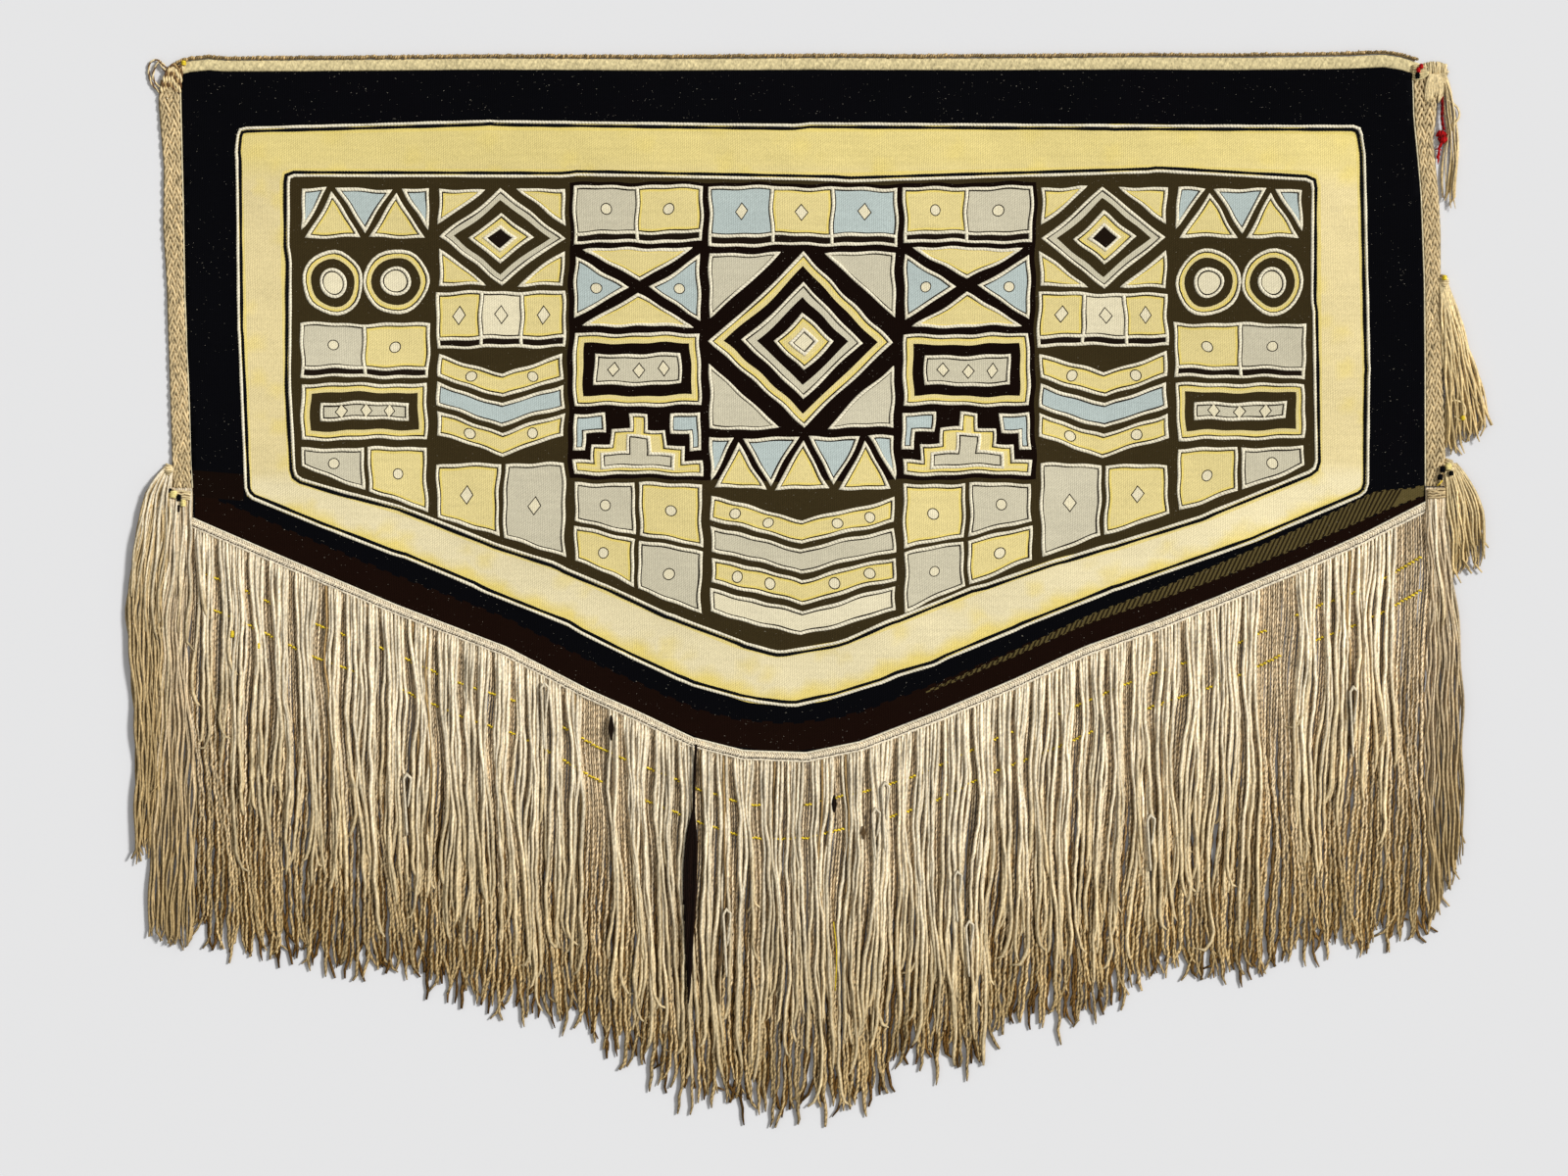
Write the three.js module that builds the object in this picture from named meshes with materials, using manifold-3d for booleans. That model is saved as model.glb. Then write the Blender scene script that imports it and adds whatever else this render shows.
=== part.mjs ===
// A chilkat blanket, a five-sided woven dance robe with a long fringe, laid flat and face up.
// Millimetres, +Z up, +Y towards the heading. The origin lies on the underside, on the centre line.
import * as THREE from "three";
import { mergeVertices } from "three/addons/utils/BufferGeometryUtils.js";
import Module from "manifold-3d";

const wasm = await Module();
wasm.setup();

// Driving dimensions
const SEAM_GAP = 0.3;
const PANEL_THICK = 3;
const LINE_PAIR_WIDTH = 9.5;
const LINE_PAIR_HEIGHT = 1.2;
const LINE_WHITE_HALF = 2.5;
const STRIP_WIDTH_LEFT = 14;
const STRIP_WIDTH_RIGHT = 16;
const STRIP_EDGE_THICK = 2.8;
const STRIP_CROWN = 3.8;
const WHIPPING_WIDTH = 6;
const WHIPPING_HEIGHT = 5;
const BRAID_HEIGHT = 5;
const BRAID_PITCH = 16;
const BRAID_BOTTOM_Y = -99;
const FOOTING_WIDTH = 11;
const FOOTING_THICK = 3.6;
const CORNER_BLOCK_HEIGHT = 5;
const CORNER_BLOCK_TOP_Y = -99.4;
const CORNER_BLOCK_BOTTOM_Y = -139;
const CORNER_OVERRUN = { x: 9, y: 4 }; // how far the footing runs on into a corner block
const STRAND_PITCH = 7.2;
const STRAND_HEIGHT = 4.2;
const STRAND_MOST_WIDTH = 6.2;
const STRAND_ROOT_LIFT = 0.8;
const STRAND_ROOT_HEIGHT = 2;
const STRAND_SHARE = 0.78; // of the room between two neighbours
const ROOT_DEPTH = 5; // how far a root reaches into its backing
const TIP_JITTER = 9;
const LOOP_YARN = 3;

// The woven panel's edge, side by side, anticlockwise from the top right corner.
const PANEL_TOP = [
  { x: 776, y: 430.7 },
  { x: 761, y: 435.2 },
  { x: 739, y: 438.7 },
  { x: 693, y: 436.5 },
  { x: 560, y: 434.9 },
  { x: 420, y: 435.8 },
  { x: 210, y: 434.6 },
  { x: 10, y: 435.4 },
  { x: -190, y: 434.3 },
  { x: -400, y: 435.5 },
  { x: -650, y: 433.4 },
  { x: -736, y: 433.1 },
  { x: -759, y: 434.8 },
  { x: -782, y: 432.7 },
  { x: -795, y: 429.2 },
];
const PANEL_LEFT = [
  { x: -791, y: 265 },
  { x: -789, y: 150 },
  { x: -782.5, y: -9 },
  { x: -779, y: -105 },
  { x: -777.5, y: -135 },
];
const PANEL_LOWER_LEFT = [
  { x: -777.5, y: -135 },
  { x: -664, y: -184 },
  { x: -520, y: -245 },
  { x: -379, y: -299 },
  { x: -276, y: -352.5 },
  { x: -212.5, y: -381 },
  { x: -140, y: -415 },
  { x: -76, y: -431 },
  { x: 2.5, y: -434 },
];
const PANEL_LOWER_RIGHT = [
  { x: 2.5, y: -434 },
  { x: 71, y: -420 },
  { x: 173, y: -381 },
  { x: 269, y: -340 },
  { x: 358, y: -299 },
  { x: 450, y: -266 },
  { x: 527.5, y: -235 },
  { x: 636, y: -190 },
  { x: 712.5, y: -155 },
  { x: 792.5, y: -114 },
];
const PANEL_RIGHT = [
  { x: 792.5, y: -114 },
  { x: 792.1, y: 60 },
  { x: 791.3, y: 161 },
  { x: 789, y: 228 },
  { x: 787.3, y: 272 },
  { x: 783.4, y: 319 },
  { x: 777.4, y: 379 },
  { x: 776, y: 430.7 },
];

// The two plaited side bands: which way they lie from the cloth, and how wide they are on the way down.
const LEFT = {
  outward: -1,
  edge: [PANEL_TOP.at(-1), ...PANEL_LEFT],
  bandTop: 423.6,
  widths: [
    { y: 424, width: 25 },
    { y: 396, width: 28.6 },
    { y: 312, width: 23.6 },
    { y: 237, width: 26.2 },
    { y: 161, width: 22.6 },
    { y: 0, width: 24 },
    { y: -99, width: 25 },
  ],
};
const RIGHT = {
  outward: 1,
  edge: PANEL_RIGHT,
  bandTop: 425.8,
  widths: [
    { y: 426, width: 34 },
    { y: 379, width: 29.5 },
    { y: 345, width: 21.6 },
    { y: 228, width: 23.2 },
    { y: 165, width: 21 },
    { y: 25, width: 23.7 },
    { y: -50, width: 26 },
    { y: -99, width: 26 },
  ],
};

// The two raised lines that frame the yellow border, at the middle of their white braid.
const OUTER_LINE = [
  { x: 709, y: 362 },
  { x: 400, y: 366.5 },
  { x: 0, y: 365.5 },
  { x: -400, y: 367.5 },
  { x: -721.5, y: 361.5 },
  { x: -724.5, y: 329 },
  { x: -719, y: 102.5 },
  { x: -712, y: -109 },
  { x: -613, y: -149 },
  { x: -517.5, y: -184 },
  { x: -411, y: -226.6 },
  { x: -292.5, y: -277.5 },
  { x: -229, y: -311 },
  { x: -149, y: -346 },
  { x: -70, y: -371.5 },
  { x: -19, y: -376 },
  { x: 30, y: -369 },
  { x: 109.5, y: -340 },
  { x: 173, y: -317.5 },
  { x: 269, y: -279 },
  { x: 396, y: -228 },
  { x: 577.5, y: -166 },
  { x: 720, y: -102 },
  { x: 721, y: 55 },
  { x: 713.5, y: 340 },
];
const INNER_LINE = [
  { x: 650, y: 297.5 },
  { x: 449, y: 305.5 },
  { x: 50, y: 295 },
  { x: -300, y: 300 },
  { x: -659, y: 301 },
  { x: -657, y: 200 },
  { x: -654, y: 22.5 },
  { x: -648, y: -84 },
  { x: -581, y: -102.5 },
  { x: -507.5, y: -124 },
  { x: -393, y: -169 },
  { x: -314, y: -194 },
  { x: -252.5, y: -222.5 },
  { x: -165, y: -260 },
  { x: -85, y: -292.5 },
  { x: -34, y: -306 },
  { x: 46, y: -292.5 },
  { x: 110, y: -267.5 },
  { x: 222.5, y: -223 },
  { x: 321, y: -187.5 },
  { x: 397.5, y: -169 },
  { x: 514, y: -131 },
  { x: 652.5, y: -74 },
  { x: 651, y: 137 },
];

// How far down the fringe reaches, and how it sways.
const FRINGE_TIPS = [
  { x: -860, y: -569 },
  { x: -837.5, y: -581 },
  { x: -819, y: -675 },
  { x: -712.5, y: -694 },
  { x: -587.5, y: -710 },
  { x: -475, y: -722.5 },
  { x: -400, y: -767 },
  { x: -287.5, y: -769 },
  { x: -260, y: -817 },
  { x: -200, y: -837.5 },
  { x: -175, y: -867 },
  { x: -94, y: -881 },
  { x: -25, y: -894 },
  { x: 62.5, y: -891 },
  { x: 102.5, y: -877.5 },
  { x: 122.5, y: -833 },
  { x: 229, y: -835 },
  { x: 244, y: -782.5 },
  { x: 325, y: -777.5 },
  { x: 412.5, y: -750 },
  { x: 441, y: -722 },
  { x: 591, y: -717.5 },
  { x: 624, y: -687.5 },
  { x: 805, y: -675 },
  { x: 815, y: -581 },
  { x: 860, y: -570 },
];
const SWAYS = [
  { reach: 4.5, across: 170, down: 420, start: 0.4 },
  { reach: 1.4, across: 61, down: 190, start: 2.1 },
  { reach: 1.1, across: 29, down: 300, start: 4.4 },
];
const SWAY_STARTS_OVER = 110; // the sway grows over this depth below the footing
const CORNER_ROOTS_Y = -132; // yarns beside the panel, above this, don't sway
const SWAY_FADE = { from: 780, to: 880 }; // the outermost yarns sway less
const LEVELS_BELOW_ROOT = [16, 150, 290];

// A fan of yarns: the edges it runs between, from its backing down to its free ends.
const CORNER_FAN_LEFT = {
  count: 9,
  height: STRAND_HEIGHT,
  edges: [
    { y: -132, inner: -780.5, outer: -805 },
    { y: -150, inner: -781, outer: -806 },
    { y: -245, inner: -780.5, outer: -813 },
    { y: -355, inner: -779.5, outer: -822 },
    { y: -480, inner: -778.5, outer: -829 },
    { y: -700, inner: -777.5, outer: -834 },
  ],
  tips: { inner: -690, outer: -670 },
};
const CORNER_FAN_RIGHT = {
  count: 7,
  height: STRAND_HEIGHT,
  edges: [
    { y: -132, inner: 793.5, outer: 817 },
    { y: -150, inner: 793.5, outer: 819.5 },
    { y: -225, inner: 793.5, outer: 829 },
    { y: -300, inner: 793.5, outer: 836 },
    { y: -400, inner: 793.5, outer: 840 },
    { y: -700, inner: 793.5, outer: 845 },
  ],
  tips: { inner: -672, outer: -572 },
};
const TASSEL_LEFT = {
  head: { y: -78, halfWidth: 7, halfLength: 10, height: 8 },
  count: 9,
  height: 4,
  edges: [
    { y: -80, inner: -809.5, outer: -817.5 },
    { y: -100, inner: -808, outer: -829 },
    { y: -150, inner: -807.5, outer: -846 },
    { y: -230, inner: -812.5, outer: -853 },
    { y: -355, inner: -824, outer: -855.5 },
    { y: -480, inner: -831, outer: -857 },
    { y: -600, inner: -834, outer: -858 },
  ],
  tips: { inner: -430, outer: -575 },
};
const TASSEL_RIGHT_LOWER = {
  head: { y: -76, halfWidth: 6.5, halfLength: 11, height: 8 },
  count: 10,
  height: 4,
  edges: [
    { y: -79, inner: 821.5, outer: 830 },
    { y: -100, inner: 821.5, outer: 840 },
    { y: -130, inner: 823, outer: 853 },
    { y: -160, inner: 828, outer: 862 },
    { y: -225, inner: 836, outer: 874 },
  ],
  tips: { inner: -190, outer: -222 },
};
const TASSEL_RIGHT_MIDDLE = {
  head: { y: 163, halfWidth: 6, halfLength: 9, height: 8 },
  count: 12,
  height: 4,
  edges: [
    { y: 160, inner: 815.6, outer: 823 },
    { y: 140, inner: 814.3, outer: 830 },
    { y: 86, inner: 815, outer: 847 },
    { y: 39, inner: 816.6, outer: 862 },
    { y: -10, inner: 818.2, outer: 876 },
    { y: -60, inner: 819.6, outer: 884 },
  ],
  tips: { inner: -48, outer: -20 },
};
const TASSEL_RIGHT_UPPER = {
  head: { x: 804.2, y: 436.6, halfWidth: 16.8, halfLength: 10.4, height: 9 },
  count: 6,
  height: 4,
  edges: [
    { y: 431, inner: 813, outer: 818 },
    { y: 412, inner: 815.3, outer: 825 },
    { y: 380, inner: 816, outer: 831 },
    { y: 362, inner: 820, outer: 831 },
    { y: 338, inner: 820.4, outer: 831 },
    { y: 300, inner: 819, outer: 832 },
    { y: 250, inner: 818.5, outer: 832 },
  ],
  tips: { inner: 286, outer: 257 },
};
const RED_TIE = {
  knot: { x: 813.9, y: 350, halfWidth: 5.6, halfLength: 9, height: 7 },
  yarn: [
    { x: 811.9, y: 426.3 },
    { x: 812.5, y: 410 },
    { x: 813.2, y: 385 },
    { x: 813.9, y: 352 },
  ],
  tails: [
    { fromX: 811.6, toX: 810.2, toY: 319 },
    { fromX: 816.2, toX: 814.4, toY: 324 },
  ],
  yarnWidth: 2.6,
  height: 3,
};
const CORNER_LOOP = {
  y: 430,
  halfWidth: 7,
  halfLength: 20,
  tail: { y: 406, halfWidth: 3.4, halfLength: 8, height: 4.2 },
};

const FABRIC = { roughness: 0.95, metalness: 0 };
const COLOURS = {
  black: 0x0e0e10,
  cream: 0xdcc898,
  brown: 0x9a7340,
  yarn: 0xcbb98c,
  red: 0x5a0f14,
};

// A repeatable number from -1 to 1 for each whole number.
function unevenness(index, seed) {
  const wave = Math.sin(index * 12.9898 + seed * 78.233) * 43758.5453;
  return 2 * (wave - Math.floor(wave)) - 1;
}

// The value of a column at a place in a table sorted along another column.
function lookUp(rows, along, column, place) {
  const rising = rows[rows.length - 1][along] > rows[0][along];
  const after = rows.findIndex((row) => (rising ? row[along] >= place : row[along] <= place));
  if (after === 0) return rows[0][column];
  if (after < 0) return rows[rows.length - 1][column];
  const from = rows[after - 1];
  const to = rows[after];
  const share = (place - from[along]) / (to[along] - from[along]);
  return from[column] + share * (to[column] - from[column]);
}

// The points of an edge moved sideways: positive is to the right of the way it runs.
function moveSideways(points, distance, closed) {
  const last = points.length - 1;
  return points.map((point, i) => {
    const before = points[i > 0 ? i - 1 : closed ? last : i];
    const after = points[i < last ? i + 1 : closed ? 0 : i];
    const into = new THREE.Vector2(point.x - before.x, point.y - before.y).normalize();
    const out = new THREE.Vector2(after.x - point.x, after.y - point.y).normalize();
    const middle = into.clone().add(out).normalize();
    const lean = Math.max(middle.dot(into.lengthSq() > 0 ? into : out), 0.4);
    return {
      x: point.x + (middle.y * distance) / lean,
      y: point.y - (middle.x * distance) / lean,
    };
  });
}

// The triangles that fill a flat ring of points, wound with it or against it.
function fillRing(ring, withRing) {
  const normal = new THREE.Vector3();
  ring.forEach((point, i) => {
    normal.add(new THREE.Vector3().crossVectors(point, ring[(i + 1) % ring.length]));
  });
  normal.normalize();
  const side = Math.abs(normal.z) < 0.9 ? new THREE.Vector3(0, 0, 1) : new THREE.Vector3(1, 0, 0);
  const across = new THREE.Vector3().crossVectors(side, normal).normalize();
  const up = new THREE.Vector3().crossVectors(normal, across);
  const flat = ring.map((point) => new THREE.Vector2(point.dot(across), point.dot(up)));
  return THREE.ShapeUtils.triangulateShape(flat, []).map(([a, b, c]) => {
    const first = flat[b].clone().sub(flat[a]);
    const turn = first.cross(flat[c].clone().sub(flat[a]));
    return turn > 0 === withRing ? [a, b, c] : [a, c, b];
  });
}

// A closed skin over rings of points, or an endless one whose last ring meets its first.
function skinOver(rings, endless = false) {
  const size = rings[0].length;
  const faces = [];
  const joins = endless ? rings.length : rings.length - 1;
  for (let r = 0; r < joins; r++) {
    const here = r * size;
    const next = ((r + 1) % rings.length) * size;
    for (let i = 0; i < size; i++) {
      const j = (i + 1) % size;
      faces.push([here + i, here + j, next + i], [here + j, next + j, next + i]);
    }
  }
  if (!endless) {
    const end = (rings.length - 1) * size;
    faces.push(...fillRing(rings[0], false));
    faces.push(...fillRing(rings[rings.length - 1], true).map((face) => face.map((i) => i + end)));
  }
  return facingOut(rings.flat(), faces);
}

function facingOut(points, faces) {
  let volume = 0;
  for (const [a, b, c] of faces) {
    volume += points[a].dot(new THREE.Vector3().crossVectors(points[b], points[c]));
  }
  const wound = volume < 0 ? faces.map(([a, b, c]) => [a, c, b]) : faces;
  const geometry = new THREE.BufferGeometry().setFromPoints(points);
  geometry.setIndex(wound.flat());
  return geometry;
}

function solidOf(geometry) {
  const bare = geometry.clone();
  bare.deleteAttribute("normal");
  bare.deleteAttribute("uv");
  const merged = mergeVertices(bare, 1e-4);
  return new wasm.Manifold(
    new wasm.Mesh({
      numProp: 3,
      vertProperties: merged.attributes.position.array,
      triVerts: new Uint32Array(merged.index.array),
    }),
  );
}

function joined(geometries) {
  const solid = geometries.map(solidOf).reduce((whole, piece) => whole.add(piece));
  const mesh = solid.getMesh();
  const geometry = new THREE.BufferGeometry();
  geometry.setAttribute("position", new THREE.BufferAttribute(mesh.vertProperties, 3));
  geometry.setIndex(new THREE.BufferAttribute(mesh.triVerts, 1));
  return geometry;
}

// The flat cloth, with the two framing line pairs standing up from its face.
function wovenPanel() {
  const outline = [
    ...PANEL_TOP,
    ...PANEL_LEFT,
    ...PANEL_LOWER_LEFT.slice(1),
    ...PANEL_LOWER_RIGHT.slice(1),
    ...PANEL_RIGHT.slice(1, -1),
  ];
  const ringAt = (z) => outline.map(({ x, y }) => new THREE.Vector3(x, y, z));
  const cloth = skinOver([ringAt(0), ringAt(PANEL_THICK)]);
  const toCompanion = LINE_PAIR_WIDTH - LINE_WHITE_HALF;
  return joined([
    cloth,
    raisedLine(OUTER_LINE, LINE_WHITE_HALF, -toCompanion),
    raisedLine(INNER_LINE, toCompanion, -LINE_WHITE_HALF),
  ]);
}

function raisedLine(route, outside, inside) {
  const bevel = 1.4;
  const rows = [
    { aside: outside, z: PANEL_THICK - 1 },
    { aside: outside - bevel, z: PANEL_THICK + LINE_PAIR_HEIGHT },
    { aside: inside + bevel, z: PANEL_THICK + LINE_PAIR_HEIGHT },
    { aside: inside, z: PANEL_THICK - 1 },
  ].map(({ aside, z }) => moveSideways(route, aside, true).map(({ x, y }) => new THREE.Vector3(x, y, z)));
  return skinOver(route.map((_, i) => rows.map((row) => row[i])), true);
}

// The band bound over the heading cord: it follows the cloth's top edge and droops at its two ends.
function headingEdge() {
  return [{ x: 787, y: 426.8 }, ...PANEL_TOP, { x: -804, y: 424.5 }].map(({ x, y }) => ({
    x,
    y: y + SEAM_GAP,
  }));
}

function stripWidthAt(x) {
  const share = (x - PANEL_TOP.at(-1).x) / (PANEL_TOP[0].x - PANEL_TOP.at(-1).x);
  return STRIP_WIDTH_LEFT + share * (STRIP_WIDTH_RIGHT - STRIP_WIDTH_LEFT);
}

function headingStrip() {
  return skinOver(
    headingEdge().map(({ x, y }) => {
      const width = stripWidthAt(x);
      return [
        new THREE.Vector3(x, y, 0),
        new THREE.Vector3(x, y + width, 0),
        new THREE.Vector3(x, y + width, STRIP_EDGE_THICK),
        new THREE.Vector3(x, y + width / 2, STRIP_CROWN),
        new THREE.Vector3(x, y, STRIP_EDGE_THICK),
      ];
    }),
  );
}

function headingWhipping() {
  return skinOver(
    headingEdge().map(({ x, y }, i) => {
      const foot = y + stripWidthAt(x) + SEAM_GAP;
      const height = WHIPPING_HEIGHT + 0.4 * unevenness(i, 5);
      return [
        new THREE.Vector3(x, foot, 0),
        new THREE.Vector3(x, foot + WHIPPING_WIDTH, 0),
        new THREE.Vector3(x, foot + 0.88 * WHIPPING_WIDTH, 0.66 * height),
        new THREE.Vector3(x, foot + 0.5 * WHIPPING_WIDTH, height),
        new THREE.Vector3(x, foot + 0.12 * WHIPPING_WIDTH, 0.66 * height),
      ];
    }),
  );
}

function seamX({ edge, outward }, y) {
  return lookUp(edge, "y", "x", y) + outward * SEAM_GAP;
}

function bandOuterX(side, y) {
  return seamX(side, y) + side.outward * lookUp(side.widths, "y", "width", y);
}

// A plaited edge band: three rounded lobes side by side, each swelling and dipping in turn.
function sideBraid(side) {
  const lobes = [
    { aside: 0.03, height: 0.4, lobe: 0 },
    { aside: 0.17, height: 1, lobe: 0 },
    { aside: 0.33, height: 0.6, lobe: 0.5 },
    { aside: 0.5, height: 1, lobe: 1 },
    { aside: 0.67, height: 0.6, lobe: 1.5 },
    { aside: 0.83, height: 1, lobe: 2 },
    { aside: 0.97, height: 0.4, lobe: 2 },
  ];
  const steps = 2 * Math.round((side.bandTop - BRAID_BOTTOM_Y) / BRAID_PITCH);
  const rings = [];
  for (let step = 0; step <= steps; step++) {
    const y = side.bandTop + ((BRAID_BOTTOM_Y - side.bandTop) * step) / steps;
    const seam = seamX(side, y);
    const outer = bandOuterX(side, y);
    const ring = [new THREE.Vector3(outer, y, 0), new THREE.Vector3(seam, y, 0)];
    for (const { aside, height, lobe } of lobes) {
      const swell = 1 - 0.11 * (1 - Math.cos(Math.PI * (step + lobe)));
      const z = BRAID_HEIGHT * height * swell;
      ring.push(new THREE.Vector3(seam + aside * (outer - seam), y, z));
    }
    rings.push(ring);
  }
  return skinOver(rings);
}

function swayAt(x, y, depth) {
  const grown = THREE.MathUtils.smoothstep(depth, 0, SWAY_STARTS_OVER);
  const kept = 1 - THREE.MathUtils.smoothstep(Math.abs(x), SWAY_FADE.from, SWAY_FADE.to);
  return SWAYS.reduce((sum, { reach, across, down, start }) => {
    return sum + grown * kept * reach * Math.sin(2 * Math.PI * (x / across + y / down) + start);
  }, 0);
}

// One yarn or lock: a three-sided section with its flat side on the ground.
function strand(route) {
  return skinOver(
    route.map(({ x, y, width, height, lift = 0 }, i) => {
      const before = route[Math.max(i - 1, 0)];
      const after = route[Math.min(i + 1, route.length - 1)];
      const along = new THREE.Vector2(after.x - before.x, after.y - before.y).normalize();
      const aside = { x: (-along.y * width) / 2, y: (along.x * width) / 2 };
      return [
        new THREE.Vector3(x - aside.x, y - aside.y, lift),
        new THREE.Vector3(x + aside.x, y + aside.y, lift),
        new THREE.Vector3(x, y, lift + height),
      ];
    }),
  );
}

// The strands along one slanting footing, straight down from their roots.
function hangingStrands(edge, fromX, toX, seed) {
  const count = Math.round((toX - fromX) / STRAND_PITCH);
  const pitch = (toX - fromX) / count;
  const placed = (i, y, depth) => {
    const x = fromX + (i + 0.5) * pitch;
    return x + swayAt(x, y, depth);
  };
  const strands = [];
  for (let i = 0; i < count; i++) {
    const x = fromX + (i + 0.5) * pitch;
    const rootY = lookUp(edge, "x", "y", x);
    const tipY = lookUp(FRINGE_TIPS, "x", "y", x) + TIP_JITTER * unevenness(i, seed);
    const height = STRAND_HEIGHT * (1 + 0.1 * unevenness(i, seed + 1));
    const shared = LEVELS_BELOW_ROOT.map((depth) => rootY - depth);
    const route = [
      { x, y: rootY + ROOT_DEPTH, width: 0.5 * pitch, height: STRAND_ROOT_HEIGHT, lift: STRAND_ROOT_LIFT },
    ];
    for (const y of [...shared, tipY]) {
      const depth = rootY - y;
      const here = placed(i, y, depth);
      const room = Math.min(here - placed(i - 1, y, depth), placed(i + 1, y, depth) - here);
      const width = Math.min(STRAND_SHARE * room, STRAND_MOST_WIDTH);
      route.push({ x: here, y, width: y === tipY ? 0.7 * width : width, height });
    }
    route[route.length - 1].height *= 0.7;
    strands.push(strand(route));
  }
  return strands;
}

// The strands of a fan or tassel share the room between its two edges evenly at every level.
function fannedStrands({ count, edges, tips, height }, seed) {
  const strands = [];
  for (let i = 0; i < count; i++) {
    const share = (i + 0.5) / count;
    const tipY = tips.inner + share * (tips.outer - tips.inner) + 0.5 * TIP_JITTER * unevenness(i, seed);
    const levels = edges.map(({ y }) => y).filter((y) => y > tipY + 8);
    const route = [...levels, tipY].map((y, level) => {
      const inner = lookUp(edges, "y", "inner", y);
      const outer = lookUp(edges, "y", "outer", y);
      const x = inner + share * (outer - inner);
      const width = Math.min((STRAND_SHARE * Math.abs(outer - inner)) / count, STRAND_MOST_WIDTH);
      const row = { x: x + swayAt(x, y, Math.max(CORNER_ROOTS_Y - y, 0)), y, width, height };
      if (level === 0) return { ...row, height: STRAND_ROOT_HEIGHT, lift: STRAND_ROOT_LIFT };
      return y === tipY ? { ...row, width: 0.7 * width, height: 0.7 * height } : row;
    });
    strands.push(strand(route));
  }
  return strands;
}

// A rounded knot or tassel head that sits flat on the ground.
function knot({ x, y, halfWidth, halfLength, height }) {
  const sides = 12;
  const rings = [
    { size: 0.97, rise: 0 },
    { size: 1, rise: 0.3 },
    { size: 0.78, rise: 0.75 },
    { size: 0.35, rise: 1 },
  ];
  return skinOver(
    rings.map(({ size, rise }) => {
      return Array.from({ length: sides }, (_, i) => {
        const angle = (2 * Math.PI * i) / sides;
        return new THREE.Vector3(
          x + size * halfWidth * Math.cos(angle),
          y + size * halfLength * Math.sin(angle),
          rise * height,
        );
      });
    }),
  );
}

// The narrow band under the cloth's slanting edge, from the corner block to the middle of the robe.
function footing(edge) {
  const upper = moveSideways(edge, SEAM_GAP, false);
  const lower = moveSideways(edge, SEAM_GAP + FOOTING_WIDTH, false);
  return skinOver(
    upper.map((top, i) => {
      const low = lower[i];
      const shoulder = 0.75 * FOOTING_THICK;
      return [
        new THREE.Vector3(top.x, top.y, 0),
        new THREE.Vector3(low.x, low.y, 0),
        new THREE.Vector3(low.x, low.y, shoulder),
        new THREE.Vector3((top.x + low.x) / 2, (top.y + low.y) / 2, FOOTING_THICK),
        new THREE.Vector3(top.x, top.y, shoulder),
      ];
    }),
  );
}

// The knotted block at the foot of a side band, which the corner's yarns hang from.
function cornerBlock(innerX, outerX) {
  const rows = [
    { share: 0, size: 0.7 },
    { share: 0.15, size: 1 },
    { share: 0.85, size: 1 },
    { share: 1, size: 0.7 },
  ];
  return skinOver(
    rows.map(({ share, size }) => {
      const y = CORNER_BLOCK_TOP_Y + share * (CORNER_BLOCK_BOTTOM_Y - CORNER_BLOCK_TOP_Y);
      const height = CORNER_BLOCK_HEIGHT * size;
      const at = (aside) => innerX + aside * (outerX - innerX);
      return [
        new THREE.Vector3(at(0), y, 0),
        new THREE.Vector3(at(1), y, 0),
        new THREE.Vector3(at(0.94), y, 0.7 * height),
        new THREE.Vector3(at(0.5), y, height),
        new THREE.Vector3(at(0.06), y, 0.7 * height),
      ];
    }),
  );
}

// One half of the bottom fringe: footing, corner block, hanging strands and the corner's fan.
function fringeHalf({ edge, outward, block, fan, seed }) {
  const corner = outward < 0 ? edge[0] : edge.at(-1);
  const middle = outward < 0 ? edge.at(-1) : edge[0];
  const middleX = middle.x + (outward * SEAM_GAP) / 2;
  const run = edge.map(({ x, y }) => (x === middle.x ? { x: middleX, y } : { x, y }));
  const lower = moveSideways(run, SEAM_GAP + FOOTING_WIDTH, false);
  const reach = { x: corner.x + outward * CORNER_OVERRUN.x, y: corner.y + CORNER_OVERRUN.y };
  const band = outward < 0 ? [reach, ...run] : [...run, reach];
  const ends = [corner.x, middleX].sort((a, b) => a - b);
  return joined([
    footing(band),
    cornerBlock(corner.x + outward * block.clear, block.outerX),
    ...hangingStrands(lower, ends[0], ends[1], seed),
    ...fannedStrands(fan, seed + 2),
  ]);
}

// A knot's sizes with its place: it sits against the outside of a side band.
function beside(side, sizes) {
  return { ...sizes, x: bandOuterX(side, sizes.y) + side.outward * (SEAM_GAP + sizes.halfWidth) };
}

function tassel(head, fan, seed) {
  return joined([knot(head), ...fannedStrands(fan, seed)]);
}

// A yarn with one knot in it, and two frayed tails below the knot.
function redTie() {
  const { knot: bulge, yarn, tails, yarnWidth, height } = RED_TIE;
  const upper = yarn.map(({ x, y }) => ({ x, y, width: yarnWidth, height }));
  const lower = tails.map(({ fromX, toX, toY }) => [
    { x: fromX, y: bulge.y, width: yarnWidth, height: height / 2, lift: STRAND_ROOT_LIFT },
    { x: (fromX + toX) / 2, y: (bulge.y - bulge.halfLength + toY) / 2, width: yarnWidth, height },
    { x: toX, y: toY, width: yarnWidth / 2, height: height / 2 },
  ]);
  upper[upper.length - 1].lift = STRAND_ROOT_LIFT;
  upper[upper.length - 1].height = height / 2;
  return joined([knot(bulge), strand(upper), ...lower.map(strand)]);
}

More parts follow.
